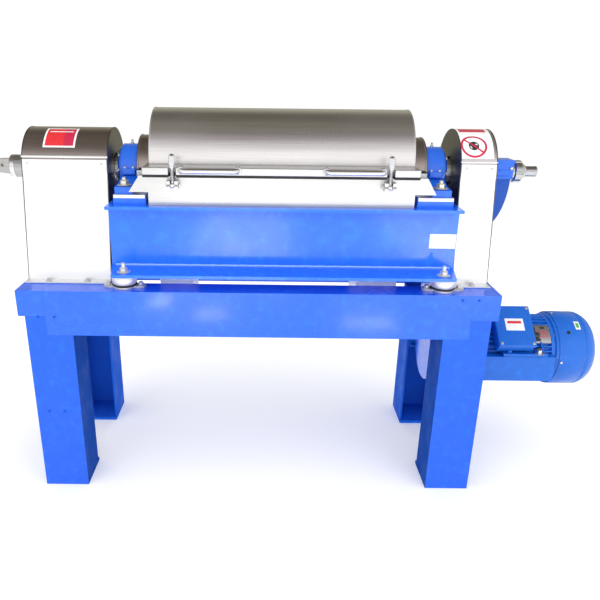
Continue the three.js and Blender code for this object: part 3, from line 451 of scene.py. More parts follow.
def revolve(bm, profile, centre, axis="X", steps=ROUND, closed=True, ripple=None):
    """Turns (along, radius) points about an axis. ripple(angle, radius) may change a radius."""
    rings = []
    for along, radius in profile:
        points = []
        for i in range(steps):
            angle = 2 * math.pi * i / steps
            r = ripple(angle, radius) if ripple else radius
            c, s = r * math.cos(angle), r * math.sin(angle)
            points.append(Vector(centre) + TURN[axis](along, c, s))
        if radius < 1e-6:
            rings.append([bm.verts.new(Vector(centre) + TURN[axis](along, 0, 0))])
        else:
            rings.append([bm.verts.new(point) for point in points])
    pairs = list(zip(rings, rings[1:] + rings[:1])) if closed else list(zip(rings, rings[1:]))
    for a, b in pairs:
        for i in range(steps):
            j = (i + 1) % steps
            face = [a[i % len(a)], a[j % len(a)], b[j % len(b)], b[i % len(b)]]
            unique = list(dict.fromkeys(face))
            if len(unique) > 2:
                bm.faces.new(unique)


def turned(name, profile, centre, axis, *piece, steps=ROUND, ripple=None, **options):
    """A turned profile as one piece."""
    bm = bmesh.new()
    revolve(bm, profile, centre, axis, steps, ripple=ripple)
    return add_piece(name, to_mesh(name, bm), *piece, **options)


def sweep(bm, points, radius, steps=20):
    """A round bar along a list of points, with closed ends."""
    points = [Vector(p) for p in points]
    rings = []
    side = None
    for i, point in enumerate(points):
        ahead = points[min(i + 1, len(points) - 1)] - points[max(i - 1, 0)]
        ahead.normalize()
        side = ahead.orthogonal() if side is None else side - ahead * side.dot(ahead)
        side.normalize()
        up = ahead.cross(side)
        rings.append([bm.verts.new(point + radius * (math.cos(a) * side + math.sin(a) * up))
                      for a in (2 * math.pi * k / steps for k in range(steps))])
    for a, b in zip(rings, rings[1:]):
        for k in range(steps):
            n = (k + 1) % steps
            bm.faces.new((a[k], a[n], b[n], b[k]))
    bm.faces.new(rings[0][::-1])
    bm.faces.new(rings[-1])


def bars(name, paths, radius, steps, *piece, **options):
    """Round bars along lists of points, joined as one piece."""
    bm = bmesh.new()
    for points in paths:
        sweep(bm, points, radius, steps)
    return add_piece(name, to_mesh(name, bm), *piece, **options)


def boxes(name, corners, *piece, **options):
    """Boxes joined as one piece."""
    bm = bmesh.new()
    blocks(bm, *corners)
    return add_piece(name, to_mesh(name, bm), *piece, **options)


def bolts(name, places, direction, across, body, material=None, stud=0.0, washer=True, slot="zinc_plate"):
    """Hexagon heads on washers, standing off a surface, joined as one piece."""
    bm = bmesh.new()
    turn = Vector((0, 0, 1)).rotation_difference(Vector(direction)).to_matrix().to_4x4()
    for place in places:
        single = bmesh.new()
        base = 0.0
        if washer:
            base = across * 0.12
            revolve(single, [(0, across * 0.3), (0, across * 0.95), (base * 0.6, across),
                             (base, across * 0.94), (base, across * 0.3)], (0, 0, 0), "Z", 24)
        top = base + across * 0.62
        crown = base + across * 0.54
        hexagon = arc(across * 0.577, 0, 360, 6)[:-1]
        extrude(single, [hexagon], base, crown, "Z")
        revolve(single, [(crown - across * 0.02, 0.0), (crown - across * 0.02, across * 0.53),
                         (top, across * 0.42), (top, 0.0)], (0, 0, 0), "Z", 24, closed=False)
        if stud:
            revolve(single, [(base, 0.0), (base, across * 0.28), (top + stud, across * 0.28),
                             (top + stud * 1.15, across * 0.2), (top + stud * 1.15, 0.0)], (0, 0, 0), "Z", 16,
                    closed=False)
        merge(bm, single, Matrix.Translation(place) @ turn)
    return add_piece(name, to_mesh(name, bm), material or zinc, body, slot, smooth=30)


def patch(name, x0, x1, radius, from_angle, to_angle, centre, thick, *piece, side=FRONT, **options):
    """A label wrapped on a horizontal round surface. Angles count up from the horizontal, on one side."""
    steps = max(2, int(abs(to_angle - from_angle) / 3))
    outer = arc(radius + thick, from_angle, to_angle, steps)
    inner = arc(radius, to_angle, from_angle, steps)
    loop = [(side * y + centre[0], z + centre[1]) for y, z in outer + inner]
    return plate(name, [loop], x0, x1, "X", *piece, **options)


def finish_nodes(material, names, bevel=0.0):
    """Gives CAD nodes a material and, where they show, softened edges."""
    for name in names:
        node = NODES[name]
        node.data.materials.clear()
        node.data.materials.append(material)
        node.data.shade_smooth()
        node.data.set_sharp_from_angle(angle=math.radians(30))
        if bevel:
            add_bevel(node, bevel)


# ------------------------------------------------------------------ stand and frame
def build_stand():
    """Legs, table and main frame in their enamels, with screws and the studs of the dampers."""
    structure = [n for n in NODES if n.startswith(("leg_", "stand_", "frame_"))]
    finish_nodes(paint, [n for n in structure if n.startswith("frame_")], 0.0018)
    finish_nodes(stand_paint, [n for n in structure if n.startswith("stand_")], 0.0018)
    finish_nodes(leg_shade_enamel, [n for n in structure if n.startswith("leg_front")], 0.0018)
    # the rear legs get the darker enamel: painted shade for the shade under the table
    finish_nodes(rear_shade_enamel, [n for n in structure if n.startswith("leg_rear")], 0.0018)
    for side_name, side in (("front", FRONT), ("rear", REAR)):
        face = (low if side == FRONT else high)(f"stand_beam_{side_name}").y
        left = low(f"leg_{side_name}_left").x
        right = high(f"leg_{side_name}_right").x
        places = [(left + 0.042, face, 0.655), (left + 0.096, face, 0.655), (left + 0.042, face, 0.303),
                  (left + 0.096, face, 0.303), (right - 0.103, face, 0.728), (right - 0.050, face, 0.728)]
        # the stand's screws get the same darker enamel, painted shade
        bolts(f"stand_screws_{side_name}", places, (0, side, 0), 0.007, ROOT, rear_shade_enamel, washer=False,
              slot="blue_paint")
        flange_y = (low if side == FRONT else high)(f"frame_beam_{side_name}").y - side * 0.035
        flange_top = low(f"frame_beam_{side_name}").z + 0.010
        studs = [(middle(f"damper_{side_name}_{end}").x + dx, flange_y, flange_top)
                 for end, dx in (("left", 0.005), ("right", -0.009))]
        bolts(f"damper_studs_{side_name}", studs, (0, 0, 1), 0.022, ROOT, zinc, stud=0.014)
    for end, inward in (("left", 1), ("right", -1)):
        shade_sides(NODES[f"leg_front_{end}"], inward)
    build_frame_plate()
    build_frame_beads()


def build_frame_beads():
    """Light blue beads along the joints between the frame's webs and its foot flanges, front and rear: a
    painted highlight line.
    """
    paths = []
    x0, x1 = low("frame_beam_front").x + 0.012, high("frame_beam_front").x - 0.012
    web = low("frame_beam_front").y + 0.116
    z = low("frame_beam_front").z + 0.0115
    for side in (-1, 1):
        y = web if side < 0 else -web
        paths.append([(x0 + (x1 - x0) * k / 80, y + side * 0.001, z + 0.0004 * math.sin(1.7 * k))
                  for k in range(81)])
    bars("frame_painted_highlight_beads", paths, 0.0032, 10, painted_highlight_bead, *ENAMELLED)


def shade_sides(node, inward):
    """Paints shade on the leg's sides that face the middle of the stand, and on its inside: they get a much
    darker enamel in a second slot.
    """
    mesh = node.data
    mesh.materials.append(inner_shade_enamel)
    front = min(vertex.co.y for vertex in mesh.vertices)
    for face in mesh.polygons:
        if face.normal.x * inward > 0.5 or face.center.y > front + 0.001 and abs(face.normal.x) < 0.5:
            face.material_index = 1


def build_frame_plate():
    """A blank white plate on the frame's front, beside the belt guard."""
    web = low("frame_beam_front").y + 0.116
    edge = high("frame_beam_front").x
    plate("frame_label", [rectangle(edge - 0.089, edge - 0.002, 0.871, 0.920)], web - 0.0012, web, "Y",
          white_label, *ENAMELLED, bevel=0.0004)


def build_dampers():
    """Turned cups on eared base plates, each with a rubber ring and two bolts."""
    for side_name in ("front", "rear"):
        for end in ENDS:
            node = f"damper_{side_name}_{end}"
            lo, hi, mid = low(node), high(node), middle(node)
            ear = 0.017
            reach = (hi.x - lo.x) / 2 - ear
            outline = arc(ear, -90, 90, 10, (reach, 0)) + [(0.034, ear), (0.024, 0.031)]
            outline += arc(0.04, 52, 128, 8)[1:-1] + [(-0.024, 0.031), (-0.034, ear)]
            outline += arc(ear, 90, 270, 10, (-reach, 0)) + [(-0.034, -ear), (-0.024, -0.031)]
            outline += arc(0.04, 232, 308, 8)[1:-1] + [(0.024, -0.031), (0.034, -ear)]
            loops = [outline, circle(0.0055, (reach, 0), 16), circle(0.0055, (-reach, 0), 16)]
            loops = [[(a + mid.x, b + mid.y) for a, b in loop] for loop in loops]
            base = plate(f"{node}_base", loops, lo.z, lo.z + 0.007, "Z", zinc, ROOT, "zinc_plate",
                         bevel=0.0012)
            height = hi.z - lo.z
            cup = [(0.006, 0.0), (0.006, 0.030), (0.010, 0.034), (0.016, 0.0395), (0.024, 0.041),
                   (height - 0.004, 0.0405), (height - 0.001, 0.0385), (height - 0.001, 0.0)]
            turned(f"{node}_cup", cup, (mid.x, mid.y, lo.z), "Z", damper_steel, ROOT, "zinc_plate",
                   replaces=(node,))
            ring = [(0.0075, 0.029), (0.0075, 0.0385), (0.0105, 0.0405), (0.0135, 0.0385), (0.0135, 0.029)]
            turned(f"{node}_rubber", ring, (mid.x, mid.y, lo.z), "Z", rubber, ROOT, "rubber")
            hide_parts(node)
            bolts(f"{node}_bolts", [(mid.x + s * reach, mid.y, lo.z + 0.007) for s in (-1, 1)], (0, 0, 1),
                  0.014, ROOT, zinc)


# ------------------------------------------------------------------ bearings
COVER_DEPTH = 0.016
SEAT_Z = 1.040  # where the housings' feet rest on their saddles


def build_pillow_blocks():
    """Cast housings with side lugs and cap bolts, bearing covers, bolts and a grease nipple."""
    for end, out in (("left", -1), ("right", 1)):
        node = f"pillow_block_{end}"
        lo, hi = low(node), high(node)
        mid = (lo + hi) / 2 - Vector((out * COVER_DEPTH / 2, 0, 0))
        radius = hi.z - AXIS_Z
        foot = hi.y
        arch = math.degrees(math.acos(0.046 / radius))
        outline = [(-foot, SEAT_Z), (-0.058, SEAT_Z)]
        outline += arc(radius, 180 + arch, 360 - arch, 14, (0, AXIS_Z)) + [(0.058, SEAT_Z), (foot, SEAT_Z)]
        outline += [(foot, SEAT_Z + 0.022), (foot - 0.055, SEAT_Z + 0.026)]
        outline += arc(radius, -10.8, 190.8, 48, (0, AXIS_Z))
        outline += [(0.055 - foot, SEAT_Z + 0.026), (-foot, SEAT_Z + 0.022)]
        bore = circle(0.0603, (0, AXIS_Z), 64)
        cast_x = (lo.x + COVER_DEPTH, hi.x) if out < 0 else (lo.x, hi.x - COVER_DEPTH)
        plate(node + "_casting", [outline, bore], *cast_x, "X", block_paint, *ENAMELLED, replaces=(node,),
              bevel=0.003, segments=3)
        face = cast_x[0] if out < 0 else cast_x[1]
        cover = [(-0.004, 0.045), (COVER_DEPTH, 0.045), (COVER_DEPTH, 0.054), (COVER_DEPTH - 0.005, 0.058),
                 (COVER_DEPTH - 0.007, 0.069), (COVER_DEPTH - 0.010, 0.072), (-0.004, 0.072)]
        turned(node + "_cover", [(out * along, r) for along, r in cover], (face, 0, AXIS_Z), "X", block_paint,
               *ENAMELLED)
        ring = around(face + out * (COVER_DEPTH - 0.0075), 0.0655, AXIS_Z, 8)
        bolts(node + "_cover_bolts", ring, (out, 0, 0), 0.008, ROOT, zinc, washer=False)
        places = [(mid.x, s * (foot - 0.026), SEAT_Z + 0.024) for s in (-1, 1)]
        bolts(node + "_bolts", places, (0, 0, 1), 0.024, ROOT, zinc, stud=0.008)
        nipple = [(0.0, 0.0), (0.0, 0.006), (0.005, 0.006), (0.006, 0.0035), (0.010, 0.003), (0.012, 0.004),
                  (0.015, 0.0035), (0.016, 0.0)]
        turned(node + "_nipple", nipple, (mid.x, 0, hi.z - 0.001), "Z", zinc, ROOT, "zinc_plate", steps=16)
        cap = [(mid.x + dx, s * radius * 0.985, AXIS_Z + 0.010) for s in (-1, 1) for dx in (-0.014, 0.014)]
        for s in (-1, 1):
            lug = [rectangle(mid.x - 0.022, mid.x + 0.022, s * radius - 0.012, s * radius + 0.009)]
            plate(f"{node}_lug_{'front' if s < 0 else 'rear'}", lug, AXIS_Z - 0.012, AXIS_Z + 0.008, "Z",
                  block_paint, *ENAMELLED, bevel=0.003, segments=3)
        bolts(node + "_cap_bolts", [(x, y + 0.001 * (1 if y > 0 else -1), z - 0.002) for x, y, z in cap],
              (0, 0, 1), 0.009, ROOT, zinc, washer=False)
    finish_nodes(paint, ["bearing_saddle_left", "bearing_saddle_right"], 0.0015)
    finish_nodes(chrome, ["bearing_left", "bearing_right"])
    # near-white steel strips along the top edges of each saddle, front and rear
    for end in ENDS:
        lo, hi = low(f"bearing_saddle_{end}"), high(f"bearing_saddle_{end}")
        span = (lo.x + 0.001, hi.x - 0.001)
        pads = [(*span, *sorted((s * 0.130, s * (hi.y + 0.0006))), hi.z - 0.012, hi.z + 0.0002)
                for s in (-1, 1)]
        boxes(f"white_saddle_strip_{end}", pads, white_strip_steel, *ENAMELLED, bevel=0.0012)


# ------------------------------------------------------------------ casing
def casing_half(radius, inner, start, end, steps=48):
    """The section of a curved sheet about the bowl axis."""
    return arc(radius, start, end, steps, (0, AXIS_Z)) + arc(inner, end, start, steps, (0, AXIS_Z))


def build_casing():
    """Lower casing, chutes and gasket, with collars at the necks and bosses on the clamp lugs."""
    finish_nodes(casing_steel, ["lower_casing"], 0.0012)
    finish_nodes(chute_steel_painted_light, ["solids_chute", "liquid_chute"], 0.001)
    finish_nodes(rubber, ["casing_gasket"])
    finish_nodes(chrome, ["lid_hinge_pin_left", "lid_hinge_pin_right"], 0.001)
    left, right = low("lid").x, high("lid").x
    for end, x0, x1 in (("left", left, left + 0.048), ("right", right - 0.054, right)):
        plate(f"casing_collar_{end}", [casing_half(0.1115, 0.1095, 182, 358)], x0, x1, "X", casing_steel,
              *STAINLESS, bevel=0.0006)
    for end in ENDS:
        x = JOINTS[f"clamp_{end}_swing"]["pos_m"][0]
        y, z = JOINTS["clamp_left_swing"]["pos_m"][1:]
        for s in (-1, 1):
            boss = [(0.0, 0.0045), (0.0, 0.0125), (0.0115, 0.0125), (0.0115, 0.0045)]
            face = x + s * 0.0071
            turned(f"clamp_{end}_boss_{'left' if s < 0 else 'right'}", [(s * a, r) for a, r in boss],
                   (face, y, z), "X", boss_steel_painted_dark_reflection, *STAINLESS, steps=32, bevel=0.0012)


# ------------------------------------------------------------------ lid
LID_FLANGE = 0.023
LIP_DEPTH = 0.008
LIP_INSET = 0.0015


def build_lid():
    """Domed lid with end plates, collars, slotted flange, and a rubber seal lip that also paints the dark
    band of shade under the flange.
    """
    lo, hi = low("lid"), high("lid")
    top = hi.z
    split = lo.z
    flange_top = split + LID_FLANGE
    centre = flange_top
    radius = top - centre
    flange_y = 0.239
    collar = 0.110
    flange_x = (lo.x + 0.042, hi.x - 0.052)
    dome_x = (flange_x[0] + 0.010, flange_x[1] - 0.004)
    wall = 0.004
    sheet = [(radius, split + 0.001)] + arc(radius, 0, 180, 72, (0, centre)) + [(-radius, split + 0.001)]
    inner = [(-radius + wall, split + 0.001)] + arc(radius - wall, 180, 0, 72, (0, centre))
    inner += [(radius - wall, split + 0.001)]
    plate("lid_shell", [sheet + inner], dome_x[0] + 0.002, dome_x[1] - 0.002, "X", lid_steel, *LID_STAINLESS,
          replaces=("lid",))
    opening = math.degrees(math.asin((split - AXIS_Z) / 0.1))
    for end, x0, x1 in (("left", dome_x[0], dome_x[0] + wall), ("right", dome_x[1] - wall, dome_x[1])):
        edge = radius + 0.0012
        outline = [(edge, split + 0.001)] + arc(edge, 0, 180, 72, (0, centre)) + [(-edge, split + 0.001)]
        outline += arc(0.1, 180 - opening, opening, 40, (0, AXIS_Z))
        plate(f"lid_end_{end}", [outline], x0, x1, "X", lid_steel, *LID_STAINLESS, bevel=0.001)
    for end, x0, x1 in (("left", lo.x, dome_x[0] + 0.001), ("right", dome_x[1] - 0.001, hi.x)):
        angle = math.degrees(math.asin((split - AXIS_Z) / collar))
        outline = arc(collar, angle, 180 - angle, 56, (0, AXIS_Z))
        outline += arc(0.1, 180 - opening, opening, 56, (0, AXIS_Z))
        plate(f"lid_collar_{end}", [outline], x0, x1, "X", collar_steel_painted_dark_reflection, *LID_STAINLESS, bevel=0.0015)
        bead = [(0, collar - 0.001), (0.002, collar + 0.0015), (0.006, collar + 0.0015),
                (0.008, collar - 0.001)]
        outer_x = x0 if end == "left" else x1 - 0.008
        ring = bmesh.new()
        half_ring(ring, bead, outer_x, angle, 180 - angle)
        add_piece(f"lid_collar_bead_{end}", to_mesh("bead", ring), collar_steel_painted_dark_reflection, *LID_STAINLESS)
    slot_half = 0.012
    slot_depth = flange_y - 0.220
    front = [(flange_x[0], -flange_y)]
    for joint in ("clamp_left_swing", "clamp_right_swing"):
        x = JOINTS[joint]["pos_m"][0]
        front += [(x - slot_half, -flange_y), (x - slot_half, slot_depth - flange_y)]
        front += arc(slot_half * 0.999, 180, 0, 12, (x, slot_depth - flange_y))[1:-1]
        front += [(x + slot_half, slot_depth - flange_y), (x + slot_half, -flange_y)]
    front += [(flange_x[1], -flange_y), (flange_x[1], 0.002 - radius), (flange_x[0], 0.002 - radius)]
    plate("lid_flange_front", [front], split, flange_top, "Z", casing_steel, *LID_STAINLESS, bevel=0.0022,
          segments=3)
    # a dark rubber strip hangs below the flange's front edge: partly a seal, partly painted shade for the
    # shadow the flange casts on the casing
    lip = [(a, b + LIP_INSET if b < 0.001 - flange_y else b) for a, b in front]
    plate("lid_seal_lip_and_shade_band", [lip], split - LIP_DEPTH, split + 0.001, "Z", rubber, LID_BODY, "rubber",
          bevel=0.0012)
    inside = radius - 0.002
    strips = [(*flange_x, inside, flange_y, split, flange_top)]
    for x0, x1 in ((flange_x[0], dome_x[0] + 0.001), (dome_x[1] - 0.001, flange_x[1])):
        for y0, y1 in ((-inside, -collar), (collar, inside)):
            strips.append((x0, x1, y0, y1, split, flange_top))
    boxes("lid_flange_rear", strips, casing_steel, *LID_STAINLESS, bevel=0.0015)
    welds = [[(dome_x[0] + (dome_x[1] - dome_x[0]) * i / 60, side * (radius + 0.0008),
               flange_top + 0.0006 + 0.0003 * math.sin(i * 2.1)) for i in range(61)]
             for side in (-1, 1)]
    bars("lid_weld_beads", welds, 0.0022, 8, casing_steel, *LID_STAINLESS)
    build_lid_hinges()


def half_ring(bm, profile, x, start, end, steps=56):
    """Sweeps an (along, radius) profile round the bowl axis between two angles."""
    rings = []
    for i in range(steps + 1):
        angle = math.radians(start + (end - start) * i / steps)
        c, s = math.cos(angle), math.sin(angle)
        rings.append([bm.verts.new((x + a, r * c, AXIS_Z + r * s)) for a, r in profile])
    for a, b in zip(rings, rings[1:]):
        for k in range(len(profile)):
            n = (k + 1) % len(profile)
            bm.faces.new((a[k], a[n], b[n], b[k]))
    bm.faces.new(rings[0])
    bm.faces.new(rings[-1][::-1])


def build_lid_hinges():
    """The eyes on the hinge pins and the leaves that join them to the lid's rear flange."""
    y, z = JOINTS["lid_hinge"]["pos_m"][1:]
    for end in ENDS:
        x = middle(f"lid_hinge_pin_{end}").x
        eye = [(-0.0148, 0.0064), (-0.0148, 0.013), (0.0148, 0.013), (0.0148, 0.0064)]
        turned(f"lid_hinge_eye_{end}", eye, (x, y, z), "X", chrome, *LID_STAINLESS, steps=32, bevel=0.001)
        plate(f"lid_hinge_leaf_{end}", [rectangle(x - 0.0148, x + 0.0148, 0.236, y - 0.007)], z - 0.005,
              z + 0.005, "Z", casing_steel, *LID_STAINLESS, bevel=0.0012)


def build_handles():
    """Bright bars with turned ends on round bosses."""
    for end in ENDS:
        node = f"lid_handle_{end}"
        lo, hi = low(node), high(node)
        r = 0.0085
        x0, x1 = lo.x + 0.006, hi.x - 0.006
        front, back = lo.y + 0.007, hi.y
        z = middle(node).z
        bend = 0.016
        points = [(x0, back + 0.001, z), (x0, front + bend, z)]
        points += [(x0 + bend - bend * math.cos(a), front + bend - bend * math.sin(a), z)
                   for a in (math.pi / 2 * k / 8 for k in range(1, 9))]
        points += [(x0 + (x1 - x0) * t, front, z) for t in (0.25, 0.5, 0.75)]
        points += [(x1 - bend + bend * math.sin(a), front + bend - bend * math.cos(a), z)
                   for a in (math.pi / 2 * k / 8 for k in range(0, 9))]
        points += [(x1, back + 0.001, z)]
        bm = bmesh.new()
        sweep(bm, points, r, 24)
        for x in (x0, x1):
            revolve(bm, [(-0.0035, 0.0), (-0.0035, 0.0105), (-0.001, 0.0125), (0.0006, 0.0125),
                         (0.0006, 0.0)], (x, back, z), "Y", 32, closed=False)
        add_piece(f"{node}_bar", to_mesh(node, bm), bar_steel, LID_BODY, "polished_steel", replaces=(node,),
                  smooth=40)


THREAD_PITCH = 0.0016
THREAD_ROOT = 0.0060
THREAD_CREST = 0.0066  # clear of the lugs, which begin 7 mm either side of the bolt's line


def build_clamps():
    """Swing bolts with a tall domed nut, a thread and an eye on a headed pin."""
    for end in ENDS:
        node = f"clamp_bolt_{end}"
        body = f"clamp_{end}"
        x, y, z = JOINTS[f"clamp_{end}_swing"]["pos_m"]
        top = high(node).z
        seat = low("lid").z + LID_FLANGE + 0.0003
        nut = [(seat, 0.0), (seat, 0.0108), (seat + 0.0025, 0.0108), (seat + 0.003, 0.0085),
               (seat + 0.006, 0.0085), (seat + 0.007, 0.0102), (top - 0.010, 0.0102), (top - 0.006, 0.0094),
               (top - 0.002, 0.0068), (top, 0.003), (top, 0.0)]
        turned(f"{node}_nut", nut, (x, y, 0), "Z", bar_steel, body, "polished_steel", replaces=(node,),
               steps=48)
        thread = [(z + 0.006, 0.0)]
        for k in range(int((seat - z - 0.008) / THREAD_PITCH)):
            base = z + 0.007 + k * THREAD_PITCH
            thread += [(base, THREAD_ROOT), (base + THREAD_PITCH / 2, THREAD_CREST)]
        thread += [(seat + 0.001, THREAD_ROOT), (seat + 0.001, 0.0)]
        turned(f"{node}_thread", thread, (x, y, 0), "Z", bar_steel, body, "polished_steel", steps=32,
               smooth=20)
        eye = [(-0.0058, 0.0), (-0.0058, 0.0075), (-0.0044, 0.009), (0.0044, 0.009), (0.0058, 0.0075),
               (0.0058, 0.0)]
        turned(f"{node}_eye", eye, (x, y, z), "X", bar_steel, body, "polished_steel", steps=40)
        pin = [(-0.0215, 0.0), (-0.0215, 0.0045), (-0.0205, 0.0058), (-0.0188, 0.0058), (-0.0188, 0.0038),
               (0.0188, 0.0038), (0.0188, 0.0058), (0.0205, 0.0058), (0.0215, 0.0045), (0.0215, 0.0)]
        turned(f"{node}_pin", pin, (x, y, z), "X", bar_steel, body, "polished_steel", steps=32)


# ------------------------------------------------------------------ guards
GUARD_HALF = 0.190  # half a guard's width at its foot
GUARD_RADIUS = {"gearbox": 0.133, "belt": 0.140}
TABLE_Z = 0.745


def guard_profile(radius, inset, foot, steps=64):
    """A guard's section from its rear foot over the top to its front foot, inset by a sheet's thickness."""
    half = GUARD_HALF - inset
    spread = math.degrees(math.asin((half - radius) / (AXIS_Z - TABLE_Z) / 2))
    return [(half, foot)] + arc(radius - inset, -spread, 180 + spread, steps, (0, AXIS_Z)) + [(-half, foot)]


def clipped(profile, z0=None, z1=None):
    """The part of a guard's profile between two heights, with its cut points added."""
    kept = []
    for start, end in zip(profile, profile[1:]):
        segment = trim(start, end, z0, z1)
        if segment:
            if not kept or kept[-1] != segment[0]:
                kept.append(segment[0])
            kept.append(segment[1])
    return kept


def trim(start, end, z0, z1):
    """The part of one line between two heights, or None where it lies outside them."""
    (a, b), (c, d) = start, end

    def at(limit):
        share = (limit - b) / (d - b)
        return (a + (c - a) * share, limit)
    if z0 is not None and max(b, d) <= z0 or z1 is not None and min(b, d) >= z1:
        return None
    if z0 is not None and b < z0:
        a, b = at(z0)
        start = (a, b)
    if z0 is not None and d < z0:
        end = at(z0)
    if z1 is not None and start[1] > z1:
        start = at(z1)
    if z1 is not None and end[1] > z1:
        end = at(z1)
    return start, end


def sheet_loop(radius, foot, wall, z0, z1):
    """The outside and inside of a guard's sheet between two heights."""
    outer = clipped(guard_profile(radius, 0, foot), z0, z1)
    inner = clipped(guard_profile(radius, wall, foot), z0, z1)
    return outer, inner


def build_guard(kind, left_hole, right_hole, hood_material):
    """Sheet steel guard: side walls with a hood over them, and one end plate at each end for both."""
    lo, hi = low(f"{kind}_guard"), high(f"{kind}_guard")
    radius = GUARD_RADIUS[kind]
    x0, x1 = lo.x, hi.x
    foot = lo.z
    wall = 0.003
    joint = hi.z
    outer, inner = sheet_loop(radius, foot, wall, joint + 0.0006, None)
    plate(f"{kind}_hood_sheet", [outer + inner[::-1]], x0 + 0.001, x1 - 0.001, "X", hood_material, *STAINLESS,
          replaces=(f"{kind}_hood",))
    outer, inner = sheet_loop(radius, foot, wall, None, joint - 0.0006)
    split = next(i for i, (a, b) in enumerate(zip(outer, outer[1:])) if a[0] > 0 > b[0])
    for side, part in (("rear", slice(0, split + 1)), ("front", slice(split + 1, None))):
        wall_loop = outer[part] + inner[part][::-1]
        plate(f"{kind}_guard_{side}_sheet", [wall_loop], x0 + 0.001, x1 - 0.001, "X", guard_steel, *STAINLESS,
              replaces=(f"{kind}_guard",))
    full = guard_profile(radius + 0.0008, 0, foot)
    for end, start, stop, hole in (("left", x0, x0 + wall, left_hole), ("right", x1 - wall, x1, right_hole)):
        plate(f"{kind}_guard_end_{end}", [full, circle(hole, (0, AXIS_Z), 48)], start, stop, "X",
              guard_end_steel_painted_shade, *STAINLESS, bevel=0.0008)
    lips = [(x0, x1, *sorted((side * 0.189, side * 0.224)), foot, foot + 0.005) for side in (-1, 1)]
    boxes(f"{kind}_guard_lip", lips, guard_steel, *STAINLESS, bevel=0.0015)
    rib_radius = 0.0042 if kind == "gearbox" else 0.0026
    rib_z = joint + rib_radius + 0.003
    angle = math.asin((rib_z - AXIS_Z) / radius)
    ribs = [[(x0 + (x1 - x0) * t, side * (radius * math.cos(angle) - rib_radius * 0.5), rib_z)
             for t in (0.0, 0.5, 1.0)] for side in (-1, 1)]
    bars(f"{kind}_hood_rib", ribs, rib_radius, 16, guard_steel, *STAINLESS)
    span = x1 - x0
    count = 2 if span > 0.2 else 1
    lip_places = [(x0 + span * (k + 0.5) / count * 0.92 + span * 0.04, s * 0.208, foot + 0.005)
                  for k in range(count) for s in (-1, 1)]
    bolts(f"{kind}_guard_bolts", lip_places, (0, 0, 1), 0.013, ROOT, zinc)
    screw_z = joint - 0.014
    screw_angle = math.asin((screw_z - AXIS_Z) / radius)
    for side in (-1, 1):
        places = [(x, side * radius * math.cos(screw_angle), screw_z) for x in (x0 + 0.02, x1 - 0.02)]
        bolts(f"{kind}_hood_screws_{'front' if side < 0 else 'rear'}", places,
              (0, side * math.cos(screw_angle), math.sin(screw_angle)), 0.007, ROOT, zinc, washer=False)


def build_guards():
    """Both guards, the lower belt guard and the two labels."""
    build_guard("gearbox", 0.032, 0.050, hood_steel_painted_dark_reflection)
    build_guard("belt", 0.050, 0.022, lid_steel)
    finish_nodes(paint, ["belt_guard_lower"], 0.0015)
    build_gearbox_label()
    build_belt_label()


def build_gearbox_label():
    """A plain red label with a white border on the gearbox hood."""
    x0 = low("gearbox_hood").x + 0.068
    x1 = x0 + 0.105
    centre = (0, AXIS_Z)
    radius = GUARD_RADIUS["gearbox"]
    border = 0.006
    lean = math.degrees(border / radius)
    lower, upper = 35, 76
    patch("gearbox_label_border", x0, x1, radius, lower, upper, centre, 0.0004, white_label, *STAINLESS)
    patch("gearbox_label_field", x0 + border, x0 + 0.066, radius + 0.0004, lower + lean, upper - lean, centre,
          0.0003, red_label, *STAINLESS)
    patch("gearbox_label_band", x0 + 0.066, x1 - border, radius + 0.0004, lower + lean, upper - lean, centre,
          0.0003, crimson_label, *STAINLESS)
    patch("gearbox_label_stripe", x0 + 0.014, x1 - 0.014, radius + 0.0007, 64, 66, centre, 0.0002,
          white_label, *STAINLESS)


def wrapped(name, loops, x, radius, angle, thick, *piece):
    """Flat label shapes, given round (0, 0), wrapped onto the belt hood at an angle up its front."""
    bm = bmesh.new()
    extrude(bm, loops, 0, thick, "Z")
    bmesh.ops.subdivide_edges(bm, edges=bm.edges[:], cuts=1)
    for vert in bm.verts:
        turn = math.radians(angle) + vert.co.y / radius
        r = radius + vert.co.z
        vert.co = Vector((x + vert.co.x, -r * math.cos(turn), AXIS_Z + r * math.sin(turn)))
    return add_piece(name, to_mesh(name, bm), *piece)


def build_belt_label():
    """A white label with a red band and a generic prohibition sign on the belt hood."""
    lo, hi = low("belt_hood"), high("belt_hood")
    centre = (0, AXIS_Z)
    radius = GUARD_RADIUS["belt"]
    patch("belt_label_field", lo.x + 0.002, hi.x - 0.012, radius, 24, 88, centre, 0.0004, white_label,
          *STAINLESS)
    patch("belt_label_band", lo.x + 0.010, hi.x - 0.022, radius + 0.0004, 72, 86, centre, 0.0003,
          crimson_label, *STAINLESS)
    mid = middle("belt_hood").x - 0.015
    red = (crimson_label, *STAINLESS)
    wrapped("belt_sign_ring", [circle(0.043, steps=64), circle(0.036, steps=64)], mid, radius + 0.0004, 43,
            0.0004, *red)
    slash = [(a * math.cos(0.7) - b * math.sin(0.7), a * math.sin(0.7) + b * math.cos(0.7))
             for a, b in rectangle(-0.037, 0.037, -0.003, 0.003)]
    wrapped("belt_sign_slash", [[(a, -b) for a, b in slash][::-1]], mid, radius + 0.0008, 43, 0.0003, *red)
    black = (black_label, *STAINLESS)
    wrapped("belt_sign_disc", [circle(0.017, steps=32)], mid, radius + 0.0004, 43, 0.0003, *black)


